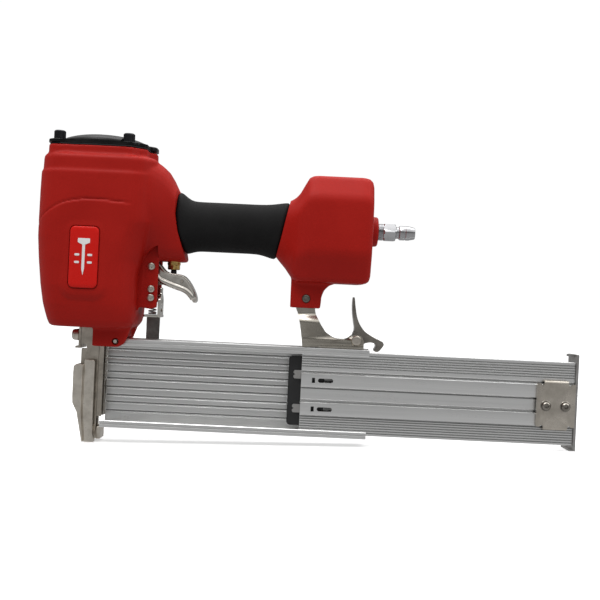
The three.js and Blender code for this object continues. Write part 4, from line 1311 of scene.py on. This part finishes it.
def build_cover(sizes):
    ob = as_object("cover", prism(cover_section(sizes.rib), 173.05, 399.45, "X"))
    cuts = []
    for z in (59.95, 36.25):
        cuts.append(prism([(182.0, z - 2.1), (184.5, z - 2.1), (184.5, z + 2.1), (182.0, z + 2.1)], -20, -2))
        cuts.append(prism(rounded(187, 199.5, z - 1.75, z + 1.75, 1.72, 6), -20, -2))
    cuts += [cross_rod(2.3, 2, 20, 20, x, CLAMP_SCREW_Z) for x in CLAMP_SCREW_X]
    carve(ob, cuts)
    edges_rounded(ob, 0.12, 1, 60)
    return dress(freeze(ob), LOOK["cover"], "cover", "cover_aluminium", "magazine_cover", angle=25)


def build_end_pieces():
    finish_node("end_plate", LOOK["zinc"], 0.35)
    plate = [(367.5, 31.0), (373.4, 31.0), (373.4, 30.0), (393.4, 30.0), (393.4, 31.0), (399.2, 31.0),
             (399.2, 66.6), (393.4, 66.6), (393.4, 67.4), (373.4, 67.4), (373.4, 66.6), (367.5, 66.6)]
    ob = as_object("clamp_plate", prism(softened(plate, 0.5), -16.4, -14.6))

    def bend(edge, away):
        """A flange folded back from the plate, with a round outer bend."""
        arc = [
            (-16.4 + 1.9 * (1 - math.cos(a)), edge + away * 1.9 * math.sin(a))
            for a in (0, 0.4, 0.8, 1.2, math.pi / 2)
        ]
        inside = [
            (-11.3, edge + away * 0.4), (-14.3, edge + away * 0.4), (-14.6, edge), (-14.6, edge - away * 3)
        ]
        return arc + [(-11.3, edge + away * 1.9)] + inside + [(-16.4, edge - away * 3)]

    flanges = [
        prism(bend(67.3, 1), 373.5, 393.3, "X"), prism(bend(30.2, -1), 373.5, 393.3, "X"),
        prism([(-16.4, 33), (-13.8, 33), (-13.8, 64.6), (-16.4, 64.6)], 367.5, 369.0, "X"),
        prism([(-16.4, 33), (-13.8, 33), (-13.8, 64.6), (-16.4, 64.6)], 397.7, 399.2, "X"),
    ]
    carve(ob, flanges, "UNION")
    notches = [cross_rod(1.3, 13, 20, 20, x, z) for x in (372.0, 394.8) for z in (31.0, 66.6)]
    notches += [cross_rod(2.5, 13, 20, 24, x, CLAMP_SCREW_Z) for x in CLAMP_SCREW_X]
    carve(ob, notches)
    edges_rounded(ob, 0.4, 3, 35)
    dress(freeze(ob), LOOK["nickel"], "cover", "nickel_steel", "rear_bracket")
    for number, x in enumerate(CLAMP_SCREW_X, 1):
        screw = socket_screw(3.4, 2.9, 2.9, 2.0, 8.3, 0.12).moved(TO_NEAR).shifted(x, -16.6, CLAMP_SCREW_Z)
        washer = turned(
            [(2.3, 0.0), (4.2, 0.0), (4.4, 0.15), (4.2, 0.3), (2.3, 0.3)], 36, closed=True
        ).moved(TO_NEAR).shifted(
            x, -16.35, CLAMP_SCREW_Z
        )
        ob = as_object(f"clamp_screw_{number}", screw.plus(washer))
        dress(ob, LOOK["polished"], "cover", "pin_steel", f"bracket_screw_{number}", angle=30)


def build_follower():
    finish_node("follower", LOOK["plastic"], 0.7)
    for number, z in ((1, 61.5), (2, 37.5)):
        turns = 3.5
        path, count = [], 90
        for i in range(count + 1):
            t = i / count
            r = 1.7 + 1.1 * t
            path.append(
                (186.5 + r * math.cos(2 * math.pi * turns * t), r * math.sin(2 * math.pi * turns * t))
            )
        inner = [(186.5 + (x - 186.5) * 0.95, y * 0.95) for x, y in path]
        strip = loft(
            [
                [(x, y, zz) for x, y in path] + [(x, y, zz) for x, y in reversed(inner)]
                for zz in (z - 4, z + 4)
            ]
        )
        ob = as_object(f"feed_roll_{number}", strip)
        dress(ob, LOOK["steel"], "follower", "spring_strip", f"feed_spring_{number}", angle=60)
    for node in ("spring_clip_1", "spring_clip_2"):
        finish_node(node, LOOK["steel"], 0.3)


# ---------------------------------------------------------------- hanger and latch


# heights at which the hanger's sides are divided, so that they can bend there
PRESS_LINES = (
    118.0, 115.8, 115.0, 114.0, 113.0, 112.0, 111.0, 110.0, 109.0, 108.0, 107.2, 104.5, 98.2, 97.2, 96.2,
    95.4,
    94.6, 93.8, 93.0, 92.2, 91.4, 90.4, 89.0,
)


def build_hanger():
    side = [
        (165.6, 133.9), (181.7, 133.9), (181.8, 118.6), (182.6, 114.6), (187.2, 106.1), (192.1, 99.4),
        (198.7, 95.2), (205.0, 93.8),
        (210.4, 95.2), (213.4, 98.0), (217.3, 99.3), (221.2, 98.0), (223.6, 94.4), (223.6, 87.4),
        (172.5, 87.4), (171.8, 94),
        (170.0, 105.6), (167.8, 114.7), (165.9, 119.0),
    ]
    outline = softened(side, 1.6, 4)

    def pressed(sign):
        ob = as_object(f"hanger_side_{'near' if sign < 0 else 'far'}", prism(outline, 7.9, 9.9))
        work = bmesh.new()
        work.from_mesh(ob.data)
        for z in PRESS_LINES:
            geom = work.verts[:] + work.edges[:] + work.faces[:]
            bmesh.ops.bisect_plane(work, geom=geom, plane_co=(0, 0, z * MM), plane_no=(0, 0, 1))
        for v in work.verts:
            x, z = v.co.x / MM, v.co.z / MM
            step = 3.6 * (0.5 - 0.5 * math.cos(math.pi * max(0.0, min(1.0, (115.8 - z) / 8.4))))
            bead = 1.3 * math.exp(-(((z - 93.6) / 1.7) ** 2)) * max(
                0.0, min(1.0, (x - 172.5) / 3, (212 - x) / 4)
            )
            v.co.y += (step * max(0.0, min(1.0, (213 - x) / 8)) + bead) * MM
            v.co.y *= sign
        bmesh.ops.recalc_face_normals(work, faces=work.faces)
        work.to_mesh(ob.data)
        work.free()
        return ob

    near, far = pressed(-1), pressed(1)
    holes = [
        cross_rod(3.3, -20, 20, 24, *HANGER_BOLT),
        cross_rod(2.7, -20, 20, 24, *LATCH_PIVOT),
    ]
    for ob in (near, far):
        carve(ob, holes)
    base = prism(rounded(172.6, 223.5, -12.6, 12.2, 1.5), 87.35, 89.4, "Z")
    carve(near, [base], "UNION")
    edges_rounded(near, 0.4, 2, 40)
    edges_rounded(far, 0.4, 2, 40)
    dress(freeze(near), LOOK["hanger"], "housing", "nickel_steel", "hanger_bracket", angle=45)
    dress(freeze(far), LOOK["hanger"], "housing", "nickel_steel", angle=45)
    bolt = socket_screw(3.3, 1.6, 3.2, 2.9, 27.0, 0.0, 0.5).moved(TO_NEAR).shifted(
        HANGER_BOLT[0], -12.0, HANGER_BOLT[1]
    )
    dress(as_object("hanger_screw", bolt), LOOK["polished"], "housing", "pin_steel", "hanger_bolt", angle=30)


LATCH = (
    (213.2, 129.4), (213.9, 130.2), (214.6, 129.4), (215.5, 122.8), (217.2, 114.0), (220.0, 107.4),
    (224.6, 101.8), (232.0, 97.4),
    (238.6, 94.4), (240.4, 92.4), (240.2, 90.6), (238.4, 88.0), (236.4, 85.8), (234.6, 85.2), (233.0, 85.6),
    (232.4, 87.2),
    (233.8, 89.8), (232.8, 92.2), (229.4, 93.0), (225.4, 92.2), (221.5, 90.5), (217.3, 89.8), (213.8, 91.4),
    (212.7, 94.6),
    (213.8, 98.6), (215.4, 103.6), (214.6, 109.0), (213.5, 116.0), (213.0, 122.8),
)


def build_latch(sizes):
    ob = as_object("latch", prism(curve_points(list(LATCH), 4), -7.1, 7.1))
    carve(ob, [block(219.4, 231, -4.4, 4.4, 80, 98.4)])
    edges_rounded(ob, 1.0, 3, 40)
    freeze(ob)
    cast_skin(ob, sizes.small_grid, 3)
    carve(ob, [cross_rod(2.8, -20, 20, 24, *LATCH_PIVOT)])
    dress(ob, LOOK["polished"], "latch", "latch_nickel", "latch_lever", angle=50)
    pin = turned([
        (2.0, -11.6), (2.5, -11.2), (2.5, 10.2), (4.2, 10.3), (4.2, 11.2), (3.7, 12.0), (2.6, 12.4),
        (1.2, 12.3), (0.4, 12.2),
    ], 40).moved(TO_NEAR).shifted(x=LATCH_PIVOT[0], z=LATCH_PIVOT[1])
    return dress(
        as_object("latch_rivet", pin), LOOK["nickel"], "housing", "pin_steel", "latch_pin", angle=30
    )


# ---------------------------------------------------------------- inside


def build_inside():
    for node, look in (
        ("cylinder_liner", "honed"), ("piston", "honed"), ("piston_ring", "soft"), ("piston_bumper", "soft"),
        ("driver_blade", "steel"), ("head_valve", "plastic"), ("trip_pin", "nickel"),
    ):
        finish_node(node, LOOK[look], 0.25)
    spring = coil(15.2, 0.6, 243.2, 249.8, 3.5)
    wound = dress(
        as_object("valve_coil", spring), LOOK["steel"], "housing", "tool_steel", "head_valve_spring",
        angle=60
    )
    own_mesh(wound)


# ---------------------------------------------------------------- stage


FLOOR_STRIPS = 24
CAMERA_PLACE = (0.169, -0.795, 0.1257)  # metres
CAMERA_LENS = 56.8
CAMERA_ROLL = 0.0471  # sine of the camera's tilt about its own axis
# where the tool stands, in metres: its foot, and its end plate's lower edge
FOOT_X, END_X, END_RISE = 0.0034, 0.398, 0.0115


def floor_finish():
    f = Finish("studio_floor", (0.9, 0.9, 0.9), 0.7, Emission_Strength=0.42)
    f.shader.inputs["Emission Color"].default_value = (1, 1, 1, 1)
    cloud = f.grain(300.0, 2.0)
    f.feed(Base_Color=f.mix(cloud, (0.88, 0.88, 0.88), (0.91, 0.91, 0.91)))
    return f.material


def lamp(name, place, aim, size, power):
    light = bpy.data.lights.new(name, "AREA")
    light.shape = "RECTANGLE"
    light.size, light.size_y = size
    light.energy = power
    ob = bpy.data.objects.new(name, light)
    bpy.context.scene.collection.objects.link(ob)
    ob.location = place
    ob.rotation_euler = (Vector(aim) - Vector(place)).to_track_quat("-Z", "Y").to_euler()
    return ob


def build_stage(sizes):
    reach = sizes.floor_reach
    slope = END_RISE / (END_X - FOOT_X)
    mesh = bpy.data.meshes.new("studio_floor")
    verts, faces = [], []
    for k in range(FLOOR_STRIPS + 1):
        y = reach * (2 * k / FLOOR_STRIPS - 1)
        verts += [(x, y, slope * (x - FOOT_X) - 0.0003) for x in (-reach, reach)]
    for k in range(FLOOR_STRIPS):
        faces.append((2 * k, 2 * k + 1, 2 * k + 3, 2 * k + 2))
    mesh.from_pydata(verts, [], faces)
    floor = bpy.data.objects.new("studio_floor", mesh)
    bpy.context.scene.collection.objects.link(floor)
    floor.data.materials.append(floor_finish())
    floor.visible_diffuse = False
    floor.visible_glossy = False

    world = bpy.data.worlds.new("studio")
    bpy.context.scene.world = world
    world.use_nodes = True
    sky = Tree(world.node_tree)
    way = sky.node("ShaderNodeSeparateXYZ", {}, {"Vector": sky.node("ShaderNodeTexCoord").out("Generated")})
    height, side = way.out("Z"), way.out("Y")
    room = height.band(-0.3, 0.1, 0.5, 0.4) - height.band(0.1, 0.2, 0.0, 0.22)
    room = room + height.band(0.36, 0.5, 0.0, 0.6)
    room = room + height.band(0.5, 0.9, 0.0, 0.75)
    room = room * side.band(-1.0, -0.72, 0.86, 1.0) * side.band(0.2, 0.8, 1.0, 0.85)
    seen = sky.node("ShaderNodeLightPath").out("Is Camera Ray")
    back = world.node_tree.nodes["Background"]
    back.inputs["Color"].default_value = (1, 1, 1, 1)
    world.node_tree.links.new((room * (1 - seen) + 1.02 * seen).socket, back.inputs["Strength"])

    lamp("key", (-0.25, -0.55, 1.3), (0.14, 0, 0.12), (0.9, 0.6), 6.0)
    lamp("top", (0.22, 0.25, 1.3), (0.17, 0, 0.1), (1.3, 0.8), 5.0)
    lamp("rim", (1.2, -0.2, 0.7), (0.2, 0, 0.14), (0.4, 0.7), 1.6)

    scene = bpy.context.scene
    scene.view_settings.view_transform = "Standard"
    scene.view_settings.look = "None"
    camera_data = bpy.data.cameras.new("camera")
    camera_data.sensor_width = 36
    camera_data.lens = CAMERA_LENS
    camera_data.clip_start = 0.01
    camera = bpy.data.objects.new("camera", camera_data)
    scene.collection.objects.link(camera)
    across = Vector((math.sqrt(1 - CAMERA_ROLL * CAMERA_ROLL), 0, CAMERA_ROLL))
    back = Vector((0, -1, 0))
    up = back.cross(across)
    turn = Matrix((across, up, back)).transposed().to_4x4()
    camera.matrix_world = Matrix.Translation(CAMERA_PLACE) @ turn
    scene.camera = camera


# ---------------------------------------------------------------- operators


class NailerStep:
    """What every building step shares."""

    bl_options = {"REGISTER", "UNDO"}

    def execute(self, context):
        self.build(context.scene.nailer_sizes)
        return {"FINISHED"}


class NAILER_OT_finishes(bpy.types.Operator):
    """Mix the finishes of all pieces"""

    bl_idname = "nailer.finishes"
    bl_label = "Finishes"

    def execute(self, context):
        mix_finishes(context.scene.nailer_colours)
        return {"FINISHED"}


class NAILER_OT_casting(NailerStep, bpy.types.Operator):
    """Build the red casting: head, handle core, rear chamber and hanger post"""

    bl_idname = "nailer.casting"
    bl_label = "Casting"

    def build(self, sizes):
        build_casting(sizes)


class NAILER_OT_cap(NailerStep, bpy.types.Operator):
    """Build the black cylinder cap, its gasket and its four socket screws"""

    bl_idname = "nailer.cap"
    bl_label = "Cap and screws"

    def build(self, sizes):
        build_cap()
        build_gasket()
        build_cap_screws()


class NAILER_OT_grip(NailerStep, bpy.types.Operator):
    """Build the rubber grip"""

    bl_idname = "nailer.grip"
    bl_label = "Grip"

    def build(self, sizes):
        build_grip()


class NAILER_OT_plug(NailerStep, bpy.types.Operator):
    """Build the air plug"""

    bl_idname = "nailer.plug"
    bl_label = "Air plug"

    def build(self, sizes):
        build_plug()


class NAILER_OT_badge(NailerStep, bpy.types.Operator):
    """Build the badge plate with its plain nail mark"""

    bl_idname = "nailer.badge"
    bl_label = "Badge"

    def build(self, sizes):
        build_badge()


class NAILER_OT_trigger(NailerStep, bpy.types.Operator):
    """Build the trigger, its pins and the trip lever"""

    bl_idname = "nailer.trigger"
    bl_label = "Trigger"

    def build(self, sizes):
        build_trigger(sizes)


class NAILER_OT_valve(NailerStep, bpy.types.Operator):
    """Build the trigger valve and its stem"""

    bl_idname = "nailer.valve"
    bl_label = "Trigger valve"

    def build(self, sizes):
        build_valve()


class NAILER_OT_safety(NailerStep, bpy.types.Operator):
    """Build the safety yoke, spring, link and foot"""

    bl_idname = "nailer.safety"
    bl_label = "Safety"

    def build(self, sizes):
        build_safety(sizes)


class NAILER_OT_nose(NailerStep, bpy.types.Operator):
    """Finish the nose base, plates and guide, and build their screws"""

    bl_idname = "nailer.nose"
    bl_label = "Nose"

    def build(self, sizes):
        build_nose()


class NAILER_OT_magazine(NailerStep, bpy.types.Operator):
    """Build the fixed rail and the sliding cover with its end pieces"""

    bl_idname = "nailer.magazine"
    bl_label = "Magazine"

    def build(self, sizes):
        build_rail()
        build_cover(sizes)
        build_end_pieces()


class NAILER_OT_follower(NailerStep, bpy.types.Operator):
    """Finish the follower and build its feed rolls and clips"""

    bl_idname = "nailer.follower"
    bl_label = "Follower"

    def build(self, sizes):
        build_follower()


class NAILER_OT_hanger(NailerStep, bpy.types.Operator):
    """Build the pressed hanger bracket and its screw"""

    bl_idname = "nailer.hanger"
    bl_label = "Hanger bracket"

    def build(self, sizes):
        build_hanger()


class NAILER_OT_latch(NailerStep, bpy.types.Operator):
    """Build the latch lever and its rivet"""

    bl_idname = "nailer.latch"
    bl_label = "Latch"

    def build(self, sizes):
        build_latch(sizes)


class NAILER_OT_inside(NailerStep, bpy.types.Operator):
    """Finish the cylinder, piston, driver and head valve"""

    bl_idname = "nailer.inside"
    bl_label = "Inside"

    def build(self, sizes):
        build_inside()


class NAILER_OT_stage(NailerStep, bpy.types.Operator):
    """Set the floor, the lamps and the camera"""

    bl_idname = "nailer.stage"
    bl_label = "Stage"

    def build(self, sizes):
        build_stage(sizes)


STEPS = (
    NAILER_OT_finishes, NAILER_OT_casting, NAILER_OT_cap, NAILER_OT_grip, NAILER_OT_plug, NAILER_OT_badge,
    NAILER_OT_trigger, NAILER_OT_valve, NAILER_OT_safety, NAILER_OT_nose, NAILER_OT_magazine,
    NAILER_OT_follower,
    NAILER_OT_hanger, NAILER_OT_latch, NAILER_OT_inside, NAILER_OT_stage,
)


class NAILER_PT_panel(bpy.types.Panel):
    """Steps and settings of the nailer"""

    bl_label = "Nailer"
    bl_idname = "NAILER_PT_panel"
    bl_space_type = "VIEW_3D"
    bl_region_type = "UI"
    bl_category = "Nailer"

    def draw(self, context):
        column = self.layout.column(align=True)
        for group in (context.scene.nailer_sizes, context.scene.nailer_colours):
            for name in group.__annotations__:
                column.prop(group, name)
        for step in STEPS:
            column.operator(step.bl_idname)


CLASSES = (NailerColours, NailerSizes, *STEPS, NAILER_PT_panel)


def register():
    for item in CLASSES:
        bpy.utils.register_class(item)
    bpy.types.Scene.nailer_sizes = bpy.props.PointerProperty(type=NailerSizes)
    bpy.types.Scene.nailer_colours = bpy.props.PointerProperty(type=NailerColours)


def unregister():
    del bpy.types.Scene.nailer_colours
    del bpy.types.Scene.nailer_sizes
    for item in reversed(CLASSES):
        bpy.utils.unregister_class(item)


def main():
    register()
    for step in STEPS:
        group, name = step.bl_idname.split(".")
        getattr(getattr(bpy.ops, group), name)()


if __name__ == "__main__":
    main()
